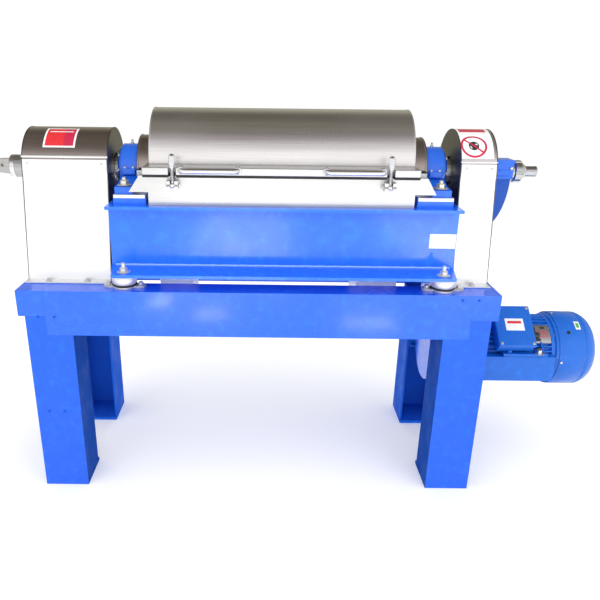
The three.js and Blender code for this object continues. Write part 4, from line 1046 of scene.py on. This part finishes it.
# ------------------------------------------------------------------ feed end and torque arm
def build_feed_end():
    """Bracket with gusset and ribs, feed pipe and union nut."""
    lo, hi = low("feed_bracket"), high("feed_bracket")
    top = hi.z
    block_bottom = 1.077
    half = hi.y
    block = [rectangle(-half, half, block_bottom, top), circle(0.0195, (0, AXIS_Z), 48)]
    plate("feed_bracket_block", block, lo.x, hi.x, "X", block_paint, *ENAMELLED,
          replaces=("feed_bracket",), bevel=0.007, segments=4)
    drop = block_bottom - lo.z
    reach = hi.x - 0.004 - lo.x
    curve = [(lo.x + reach * math.cos(t) ** 0.9, lo.z + drop * (1 - math.sin(t)))
             for t in (math.pi / 2 * k / 24 for k in range(24))] + [(lo.x, lo.z)]
    outline = [(lo.x, block_bottom + 0.002), (hi.x - 0.004, block_bottom + 0.002)]
    outline += curve
    # the gusset takes the darker enamel: painted shade
    plate("feed_bracket_gusset", [outline], 0.006 - half, half - 0.006, "Y", bracket_shade_enamel, *ENAMELLED,
          bevel=0.002)
    plate("feed_bracket_base", [rectangle(-half - 0.006, half + 0.006, lo.z + 0.004, top + 0.004)], lo.x,
          lo.x + 0.005, "X", paint, *ENAMELLED, bevel=0.0015)
    tube_end = high("feed_tube").x
    tube_start = low("feed_tube").x
    tube = [(tube_start, 0.015), (tube_end, 0.015), (tube_end, 0.0185), (tube_end - 0.001, 0.019),
            (tube_end - 0.004, 0.019), (tube_end - 0.0045, 0.0186), (tube_start, 0.0186)]
    turned("feed_tube_pipe", tube, (0, 0, AXIS_Z), "X", polished_tube, ROOT, "polished_steel",
           replaces=("feed_tube",), steps=64)
    nut_lo, nut_hi = low("feed_union_nut").x, high("feed_union_nut").x
    nut = [(nut_lo, 0.0195), (nut_hi, 0.0195), (nut_hi, 0.0225), (nut_hi - 0.009, 0.027),
           (nut_hi - 0.010, 0.031), (nut_hi - 0.013, 0.0355), (nut_hi - 0.018, 0.0385),
           (nut_lo + 0.009, 0.0385), (nut_lo + 0.006, 0.031), (nut_lo, 0.031)]

    def slots(angle, r):
        notch = math.cos(6 * angle) > 0.72
        return r - 0.0035 if notch and r > 0.034 else r
    turned("feed_union", nut, (0, 0, AXIS_Z), "X", polished_tube, ROOT, "polished_steel",
           replaces=("feed_union_nut",), ripple=slots, smooth=28)
    bolts("feed_bracket_screw", [(hi.x - 0.009, -half + 0.001, AXIS_Z + 0.015)], (0, -1, 0), 0.010, ROOT,
          chrome, washer=False)
    ribs = [[(lo.x + 0.004, side * half, z), (hi.x - 0.012, side * half, z)]
            for z in (AXIS_Z + 0.008, AXIS_Z - 0.012) for side in (-1, 1)]
    bars("feed_bracket_ribs", ribs, 0.0022, 12, block_paint, *ENAMELLED)


def build_torque_arm():
    """Torque arm and the turned collar that joins it to the pinion shaft."""
    finish_nodes(arm_steel, ["torque_arm"], 0.002)
    finish_nodes(polished_tube, ["pinion_shaft"])
    collar_x = (low("gearbox_guard").x - 0.0793, low("gearbox_guard").x - 0.0003)
    a, b = collar_x
    profile = [(a, 0.0166), (b, 0.0166), (b, 0.039), (b - 0.016, 0.039), (b - 0.018, 0.034),
               (a + 0.018, 0.034), (a + 0.016, 0.039), (a + 0.002, 0.039), (a, 0.037)]
    turned("torque_arm_collar", profile, (0, 0, AXIS_Z), "X", chrome, *STAINLESS, smooth=28)


# ------------------------------------------------------------------ motor
def finned_outline(radius, core, fins):
    """A motor casing's section: round-topped cooling fins all round."""
    points = []
    for k in range(fins):
        a = 360 * k / fins
        step = 360 / fins
        for angle, r in ((-0.32, core), (-0.13, radius - 0.001), (-0.06, radius), (0.06, radius),
                         (0.13, radius - 0.001), (0.32, core)):
            points += arc(r, a + angle * step, a + angle * step, 1, (0, MOTOR_Z))[:1]
    return points


def build_motor():
    """Finned casing, two shields, cowl, feet, terminal box and labels."""
    finish_nodes(motor_paint, ["motor_stator"])
    lo, hi = low("motor_fan_cover"), high("motor_fan_cover")
    radius = (hi.z - lo.z) / 2
    body0 = high("motor_drive_shield").x
    body1 = lo.x - 0.024
    outline = finned_outline(0.1265, 0.1125, 44)
    plate("motor_casing", [outline, circle(0.0805, (0, MOTOR_Z), 48)], body0 + 0.0006, body1 - 0.001, "X",
          motor_paint, *MOTOR_PAINTED, replaces=("motor_stator",))
    centre = (0, 0, MOTOR_Z)
    shield = low("motor_drive_shield").x
    front = [(shield, 0.0265), (shield, 0.060), (shield + 0.006, 0.066), (shield + 0.010, 0.098),
             (shield + 0.016, 0.112), (shield + 0.016, 0.124), (body0, 0.126), (body0, 0.0265)]
    turned("motor_shield_drive", front, centre, "X", motor_paint, *MOTOR_PAINTED,
           replaces=("motor_drive_shield",), smooth=30)
    rear = [(body1 - 0.001, 0.0205), (body1 - 0.001, 0.126), (body1 + 0.012, 0.126), (body1 + 0.014, 0.1325),
            (lo.x + 0.006, 0.1345), (lo.x + 0.008, 0.118), (lo.x + 0.010, 0.090), (lo.x + 0.010, 0.0205)]
    turned("motor_shield_rear", rear, centre, "X", motor_paint, *MOTOR_PAINTED, smooth=30)
    for k, (x, direction) in enumerate(((shield + 0.016, -1), (body1 + 0.012, 1))):
        places = around(x, 0.117, MOTOR_Z, 4, 45)
        bolts(f"motor_tie_bolts_{ENDS[k]}", places, (direction, 0, 0), 0.011, ROOT, zinc)
    build_fan_cover(lo.x, hi.x, radius)
    build_motor_feet()
    build_terminal_box()
    build_motor_plates(radius)
    finish_nodes(motor_paint, ["motor_arm_front", "motor_arm_rear"], 0.0015)


def build_fan_cover(x0, x1, radius):
    """Pressed cowl with a raised end, a grille of slots and screws round its rim."""
    wall = 0.0025
    profile = [(x0, radius - wall), (x1 - 0.048, radius - wall), (x1 - 0.030, radius - 0.008),
               (x1 - 0.006, 0.097), (x1, 0.0965), (x1 - 0.001, 0.1025), (x1 - 0.005, 0.110),
               (x1 - 0.012, 0.119), (x1 - 0.022, 0.1275), (x1 - 0.033, 0.1335), (x1 - 0.042, radius - 0.001),
               (x1 - 0.050, radius), (x1 - 0.052, radius - 0.0012), (x1 - 0.054, radius),
               (x0 + 0.010, radius), (x0 + 0.008, radius - 0.001), (x0, radius - 0.001)]
    turned("motor_cowl", profile, (0, 0, MOTOR_Z), "X", motor_paint, *MOTOR_PAINTED,
           replaces=("motor_fan_cover",), smooth=40)
    loops = [circle(0.0972, (0, MOTOR_Z), 72), circle(0.014, (0, MOTOR_Z), 24)]
    for inner, outer, count in ((0.082, 0.092, 12), (0.064, 0.074, 12), (0.046, 0.056, 8), (0.028, 0.038, 8)):
        for k in range(count):
            step = 360 / count
            start, end = k * step + 4, (k + 1) * step - 4
            loops.append(arc(outer, start, end, 8, (0, MOTOR_Z)) + arc(inner, end, start, 8, (0, MOTOR_Z)))
    plate("motor_cowl_grille", loops, x1 - 0.0055, x1 - 0.0025, "X", motor_paint, *MOTOR_PAINTED)
    for k, place in enumerate(around(x0 + 0.007, radius - 0.001, MOTOR_Z, 4)):
        direction = Vector((0, place[1], place[2] - MOTOR_Z)).normalized()
        bolts(f"motor_cowl_screw_{k + 1}", [place], direction, 0.008, ROOT, zinc, washer=False)
    angle = math.radians(133.5)
    spot = Vector((x0 + 0.036, radius * math.cos(angle), MOTOR_Z + radius * math.sin(angle)))
    plug = bmesh.new()
    revolve(plug, [(-0.002, 0.0), (-0.002, 0.007), (0.0006, 0.007), (0.0012, 0.005), (0.0004, 0.0)],
            (0, 0, 0), "Z", 24, closed=False)
    turn = Vector((0, 0, 1)).rotation_difference(Vector((0, spot.y, spot.z - MOTOR_Z)).normalized())
    bmesh.ops.transform(plug, matrix=Matrix.Translation(spot) @ turn.to_matrix().to_4x4(), verts=plug.verts)
    add_piece("motor_cowl_plug", to_mesh("plug", plug), rubber, ROOT, "rubber")


def build_motor_feet():
    """Two cast feet with webs, bolted to the side arms."""
    arm_top = high("motor_arm_front").z
    foot_x = (low("motor_arm_front").x + 0.260, low("motor_arm_front").x + 0.420)
    bm = bmesh.new()
    for side in (-1, 1):
        y0, y1 = sorted((side * 0.096, side * 0.158))
        blocks(bm, (foot_x[0], foot_x[1], y0, y1, arm_top + 0.0004, arm_top + 0.012))
        for x in (foot_x[0] + 0.006, foot_x[1] - 0.014):
            web = [(side * 0.100, arm_top + 0.010), (side * 0.146, arm_top + 0.010),
                   (side * 0.112, MOTOR_Z + 0.066), (side * 0.085, MOTOR_Z + 0.080)]
            extrude(bm, [web if side > 0 else web[::-1]], x, x + 0.008, "X")
    add_piece("motor_feet", to_mesh("feet", bm), motor_paint, *MOTOR_PAINTED, bevel=0.002)
    near, far = foot_x[0] + 0.024, foot_x[1] - 0.025
    bolts("motor_foot_bolt", [(far - 0.006, -0.148, arm_top + 0.012)], (0, 0, 1), 0.020, ROOT, chrome)
    painted = [(near, -0.147, arm_top + 0.012), (near, 0.147, arm_top + 0.012), (far, 0.147, arm_top + 0.012)]
    bolts("motor_foot_bolts_painted", painted, (0, 0, 1), 0.015, ROOT, motor_paint)


TERMINAL_TILT = math.radians(49.5 - 90)


def tilted(name, bm, *piece, **options):
    """Places a piece built over the motor's axis, turned down towards the operator's side."""
    turn = Matrix.Translation((0, 0, MOTOR_Z)) @ Matrix.Rotation(-TERMINAL_TILT, 4, "X")
    bmesh.ops.transform(bm, matrix=turn, verts=bm.verts)
    return add_piece(name, to_mesh(name, bm), *piece, **options)


def tilted_box(name, box, *piece, **options):
    """A box of the terminal box, in the motor's tilted frame."""
    bm = bmesh.new()
    blocks(bm, box)
    return tilted(name, bm, *piece, **options)


def build_terminal_box():
    """Box, gasket, lid with screws, blank label and an empty gland."""
    x0 = low("motor_arm_front").x + 0.233
    x1 = x0 + 0.135
    half = 0.082
    seat, face = 0.1273, 0.176
    body = (x0 + 0.002, x1 - 0.002, 0.002 - half, half - 0.002, seat, face - 0.016)
    tilted_box("terminal_box_body", body, motor_paint, *MOTOR_PAINTED,
               replaces=("motor_terminal_box",), bevel=0.006, segments=4)
    gasket = (x0 + 0.0035, x1 - 0.0035, 0.0035 - half, half - 0.0035, face - 0.018, face - 0.014)
    tilted_box("terminal_box_gasket", gasket, rubber, ROOT, "rubber")
    lid = (x0, x1, -half, half, face - 0.0145, face)
    tilted_box("terminal_box_lid", lid, motor_paint, *MOTOR_PAINTED, bevel=0.005, segments=4)
    bm = bmesh.new()
    for x in (x0 + 0.011, x1 - 0.011):
        for y in (0.011 - half, half - 0.011):
            revolve(bm, [(face - 0.002, 0.0), (face - 0.002, 0.0052), (face + 0.001, 0.0052),
                         (face + 0.002, 0.004), (face + 0.002, 0.0)], (x, y, 0), "Z", 20, closed=False)
    tilted("terminal_box_screws", bm, zinc, ROOT, "zinc_plate")
    label = (x0 + 0.036, x0 + 0.102, -0.020, 0.028, face, face + 0.0005)
    tilted_box("terminal_box_label", label, white_label, *MOTOR_PAINTED)
    band = (x0 + 0.044, x0 + 0.094, 0.008, 0.018, face + 0.0005, face + 0.0008)
    tilted_box("terminal_box_label_band", band, red_label, *MOTOR_PAINTED)
    bm = bmesh.new()
    gland = [(x1 - 0.002, 0.0), (x1 - 0.002, 0.013), (x1 + 0.006, 0.013), (x1 + 0.006, 0.011),
             (x1 + 0.012, 0.011), (x1 + 0.014, 0.0125), (x1 + 0.022, 0.0125), (x1 + 0.026, 0.009),
             (x1 + 0.026, 0.006), (x1 + 0.018, 0.0055), (x1 + 0.018, 0.0)]
    revolve(bm, gland, (0, -half / 3, (seat + face) / 2), "X", 12, closed=False)
    tilted("terminal_box_gland", bm, dark_iron, ROOT, "zinc_plate", bevel=0.0006, smooth=25)


def build_motor_plates(radius):
    """The nameplate on the casing and a small label on the cowl, both without text."""
    x0 = low("motor_arm_front").x + 0.370
    centre = (0, MOTOR_Z)
    patch("motor_name_plate", x0, x0 + 0.077, 0.1267, 30, 62, centre, 0.0012, name_plate, *MOTOR_PAINTED)
    patch("motor_name_bar", x0 + 0.018, x0 + 0.025, 0.1279, 34, 59, centre, 0.0003, black_label,
          *MOTOR_PAINTED)
    patch("motor_name_foot", x0 + 0.006, x0 + 0.040, 0.1279, 33, 38, centre, 0.0003, black_label,
          *MOTOR_PAINTED)
    patch("motor_name_head", x0 + 0.044, x0 + 0.060, 0.1279, 55, 59, centre, 0.0003, black_label,
          *MOTOR_PAINTED)
    for k in range(4):
        patch(f"motor_name_line_{k + 1}", x0 + 0.032, x0 + 0.070, 0.1279, 40 + 3.5 * k, 41.2 + 3.5 * k,
              centre, 0.0002, crimson_label, *MOTOR_PAINTED)
    cowl = low("motor_fan_cover").x
    patch("cowl_label", cowl + 0.066, cowl + 0.084, radius, 52, 67, centre, 0.0005, white_label,
          *MOTOR_PAINTED)
    patch("cowl_label_green", cowl + 0.070, cowl + 0.080, radius + 0.0005, 55, 64, centre, 0.0003,
          green_label, *MOTOR_PAINTED)


# ------------------------------------------------------------------ rotating parts
BOWL_PULLEY_RADIUS = 0.058
MOTOR_PULLEY_RADIUS = 0.112


def build_rotating():
    """Bowl, screw, gearbox drum, pulleys and belts."""
    bowl_lo, bowl_hi = low("bowl_shell").x, high("bowl_shell").x
    cone = bowl_lo + 0.270
    axis = (0, 0, AXIS_Z)
    shell = [(bowl_lo, 0.062), (cone, 0.110), (bowl_hi, 0.110), (bowl_hi, 0.118), (bowl_hi - 0.006, 0.1182),
             (bowl_hi - 0.030, 0.1182), (bowl_hi - 0.031, 0.1165), (cone + 0.011, 0.1165),
             (cone + 0.010, 0.1182), (cone - 0.002, 0.1178), (bowl_lo + 0.052, 0.079),
             (bowl_lo + 0.050, 0.0775), (bowl_lo + 0.003, 0.0715), (bowl_lo, 0.069)]
    bowl = turned("bowl_drum", shell, axis, "X", machined, "bowl", "stainless", replaces=("bowl_shell",))
    carve_ports(bowl, bowl_lo)
    hub = bowl_hi + 0.0253
    bolts("bowl_flange_bolts", around(hub, 0.106, AXIS_Z, 12), (1, 0, 0), 0.008, "bowl", zinc, washer=False,
          slot="stainless")
    finish_nodes(machined, ["bowl_hub_left", "bowl_hub_right"])
    finish_nodes(process_steel, ["conveyor_shaft", "conveyor_flight"])
    box0, box1 = low("gearbox_housing").x, high("gearbox_housing").x
    drum = [(box0, 0.026), (box0 + 0.013, 0.026), (box0 + 0.013, 0.082), (box1 - 0.012, 0.082),
            (box1 - 0.012, 0.0203), (box1, 0.0203), (box1, 0.078), (box1 - 0.004, 0.086),
            (box1 - 0.018, 0.098), (box1 - 0.024, 0.0995)]
    for k in range(5):
        start = box1 - 0.040 - 0.028 * k
        drum += [(start, 0.0995), (start - 0.002, 0.0965), (start - 0.008, 0.0965), (start - 0.010, 0.0995)]
    drum += [(box0 + 0.016, 0.0995), (box0 + 0.003, 0.088), (box0, 0.084)]
    turned("gearbox_drum", drum, axis, "X", dark_iron, "bowl", "dark_iron", replaces=("gearbox_housing",))
    build_pulley("bowl_pulley", BOWL_PULLEY_RADIUS, "bowl", AXIS_Z)
    build_pulley("motor_pulley", MOTOR_PULLEY_RADIUS, "motor_rotor", MOTOR_Z)
    build_belts()
    finish_nodes(dark_iron, ["motor_rotor"])


def carve_ports(bowl, start):
    """Cuts the four solids ports through the bowl's small end."""
    bm = bmesh.new()
    for k in range(2):
        block = bmesh.new()
        extrude(block, [rectangle(start + 0.012, start + 0.038, -0.012, 0.012)], -0.118, 0.118, "Z")
        merge(bm, block, Matrix.Translation((0, 0, AXIS_Z)) @ Matrix.Rotation(k * math.pi / 2, 4, "X"))
    cutter = bpy.data.objects.new("cutter", to_mesh("cutter", bm))
    bpy.context.scene.collection.objects.link(cutter)
    modifier = bowl.modifiers.new("ports", "BOOLEAN")
    modifier.object = cutter
    modifier.operation = "DIFFERENCE"
    modifier.solver = "EXACT"
    modifier.use_self = True
    bpy.context.view_layer.objects.active = bowl
    bpy.ops.object.modifier_apply(modifier=modifier.name)
    bpy.data.objects.remove(cutter)


def build_pulley(node, radius, body, z):
    """A rim with two V grooves."""
    lo, hi = low(node).x, high(node).x
    bore = 0.0403 if body == "bowl" else 0.0203
    profile = [(lo, bore), (hi, bore), (hi, radius - 0.001), (hi - 0.001, radius)]
    for x in (lo + 0.031, lo + 0.011):
        profile += [(x + 0.0074, radius), (x + 0.0058, radius - 0.0108), (x - 0.0058, radius - 0.0108),
                    (x - 0.0074, radius)]
    profile += [(lo + 0.001, radius), (lo, radius - 0.001)]
    turned(f"{node}_rim", profile, (0, 0, z), "X", dark_iron, body, "dark_iron", replaces=(node,), smooth=25)


def belt_loop(offset):
    """A belt's line round both pulleys, at a depth below its back."""
    top, bottom = BOWL_PULLEY_RADIUS - offset, MOTOR_PULLEY_RADIUS - offset
    lean = math.degrees(math.asin((bottom - top) / (AXIS_Z - MOTOR_Z)))
    points = arc(top, lean, 180 - lean, 40, (0, AXIS_Z))
    return points + arc(bottom, 180 - lean, 360 + lean, 64, (0, MOTOR_Z))


def build_belts():
    """Two V belts with a rounded back."""
    for k in (1, 2):
        node = f"drive_belt_{k}"
        mid = middle(node).x
        section = [(-0.0052, 0.0095), (-0.0066, 0.0022), (-0.0058, 0.0012), (0.0058, 0.0012),
                   (0.0066, 0.0022), (0.0052, 0.0095)]
        bm = bmesh.new()
        loops = [[bm.verts.new((mid + across, y, z)) for y, z in belt_loop(offset)]
                 for across, offset in section]
        count = len(loops[0])
        for a, b in zip(loops, loops[1:] + loops[:1]):
            for i in range(count):
                j = (i + 1) % count
                bm.faces.new((a[i], a[j], b[j], b[i]))
        add_piece(f"{node}_loop", to_mesh(node, bm), rubber, ROOT, "rubber", replaces=(node,), smooth=40)


# ------------------------------------------------------------------ floor and light
# what mirrors see, by the height of the direction, from level to overhead
CEILING = [
    (0.0, (1.0, 1.0, 1.0)), (0.42, (1.0, 1.0, 1.0)), (0.62, (0.62, 0.6, 0.62)),
    (0.78, (0.28, 0.25, 0.245)), (0.92, (0.165, 0.145, 0.13)), (1.0, (0.15, 0.135, 0.1)),
]
# what lights the machine and what mirrors see, from the operator's side to the rear
FRONT_LIGHT = [
    (0.0, (1.0, 1.0, 1.0)), (0.35, (0.9, 0.9, 0.9)), (0.6, (0.5, 0.5, 0.5)), (1.0, (0.36, 0.36, 0.36)),
]
FAR_WALL = [(0.0, (1.0, 1.0, 1.0)), (0.55, (1.0, 1.0, 1.0)), (0.78, (0.42, 0.42, 0.32))]
# low cards whose mirror images make the soft patches in the enamel: x, y, width, depth, power
FLOOR_CARDS = [
    (-0.34, -3.6, 0.8, 1.9, 20.0),
    (1.45, -3.6, 0.9, 1.9, 20.0),
    (-0.80, -2.13, 0.12, 0.20, 1.3),
    (-0.46, -1.91, 0.20, 0.18, 1.0),
    (0.48, -1.80, 0.30, 0.16, 1.2),
]


def build_floor():
    """A plain white floor, kept out of the object."""
    mesh = bpy.data.meshes.new("floor")
    side, front, back = 7.0, -9.0, 3.4
    mesh.from_pydata([(-side, front, 0), (side, front, 0), (side, back, 0), (-side, back, 0)], [],
                     [(0, 1, 2, 3)])
    floor = bpy.data.objects.new("floor", mesh)
    bpy.context.scene.collection.objects.link(floor)
    finish = Finish("floor_white", Specular_IOR_Level=0.1, Emission_Color=(1, 1, 0.96, 1),
                    Emission_Strength=0.16)
    finish.colour(finish.ramp(finish.noise(0.6, 3), (0.3, (0.95, 0.95, 0.95)), (0.7, (0.97, 0.97, 0.97))))
    finish.rough(finish.spread(finish.noise(2, 3), 0.7, 0.9))
    mesh.materials.append(finish.material)


def soft_light(name, place, target, size, power, mirrored=False):
    """A rectangular lamp, mirrored by metal and enamel only when asked for."""
    data = bpy.data.lights.new(name, "AREA")
    data.shape = "RECTANGLE"
    data.size, data.size_y = size
    data.energy = power
    light = bpy.data.objects.new(name, data)
    bpy.context.scene.collection.objects.link(light)
    light.location = place
    light.rotation_euler = (Vector(target) - Vector(place)).to_track_quat("-Z", "Y").to_euler()
    light.visible_camera = False
    light.visible_glossy = mirrored


def build_world():
    """White studio surroundings that bright metal mirrors with a dark ceiling and a dark far wall."""
    world = bpy.data.worlds.new("studio")
    bpy.context.scene.world = world
    world.use_nodes = True
    nodes, links = world.node_tree.nodes, world.node_tree.links
    nodes.clear()
    output = nodes.new("ShaderNodeOutputWorld")
    seen = nodes.new("ShaderNodeMixShader")
    mix = nodes.new("ShaderNodeMixShader")
    plain = nodes.new("ShaderNodeBackground")
    plain.inputs["Color"].default_value = (1, 1, 1, 1)
    plain.inputs["Strength"].default_value = 1.02
    lit = nodes.new("ShaderNodeBackground")
    mirrored = nodes.new("ShaderNodeBackground")
    coordinate = nodes.new("ShaderNodeTexCoord")
    split = nodes.new("ShaderNodeSeparateXYZ")
    halves = nodes.new("ShaderNodeMapRange")
    tint = nodes.new("ShaderNodeMix")
    tint.data_type = "RGBA"
    tint.blend_type = "MULTIPLY"
    tint.inputs["Factor"].default_value = 1.0
    path = nodes.new("ShaderNodeLightPath")
    links.new(coordinate.outputs["Generated"], split.inputs["Vector"])
    ceiling = colour_ramp(nodes, links, split.outputs["Z"], CEILING)
    halves.inputs["From Min"].default_value = -1.0
    links.new(split.outputs["Y"], halves.inputs["Value"])
    wall = colour_ramp(nodes, links, halves.outputs["Result"], FAR_WALL)
    links.new(ceiling, tint.inputs[6])
    links.new(wall, tint.inputs[7])
    links.new(tint.outputs[2], mirrored.inputs["Color"])
    front = colour_ramp(nodes, links, halves.outputs["Result"], FRONT_LIGHT)
    links.new(front, lit.inputs["Color"])
    lit.inputs["Strength"].default_value = 1.55
    links.new(path.outputs["Is Glossy Ray"], mix.inputs["Fac"])
    links.new(lit.outputs["Background"], mix.inputs[1])
    links.new(mirrored.outputs["Background"], mix.inputs[2])
    links.new(path.outputs["Is Camera Ray"], seen.inputs["Fac"])
    links.new(mix.outputs["Shader"], seen.inputs[1])
    links.new(plain.outputs["Background"], seen.inputs[2])
    links.new(seen.outputs["Shader"], output.inputs["Surface"])


def build_light():
    """Three soft lamps and the low cards."""
    soft_light("key", (-1.6, -3.2, 3.4), (0, 0, 0.9), (2.6, 1.6), 12)
    soft_light("fill", (2.4, -2.6, 1.6), (0.2, 0, 0.8), (1.6, 1.6), 6)
    soft_light("rear", (0.4, 3.2, 2.6), (0, 0, 0.9), (2.4, 1.4), 20)
    for k, (x, y, width, depth, power) in enumerate(FLOOR_CARDS):
        soft_light(f"floor_card_{k + 1}", (x, y, 0.03), (x, y, 1), (width, depth), power, True)
    bpy.context.scene.view_settings.view_transform = "Standard"


build_floor()
build_world()
build_light()
build_stand()
build_dampers()
build_pillow_blocks()
build_casing()
build_lid()
build_handles()
build_clamps()
build_guards()
build_feed_end()
build_torque_arm()
build_motor()
build_rotating()
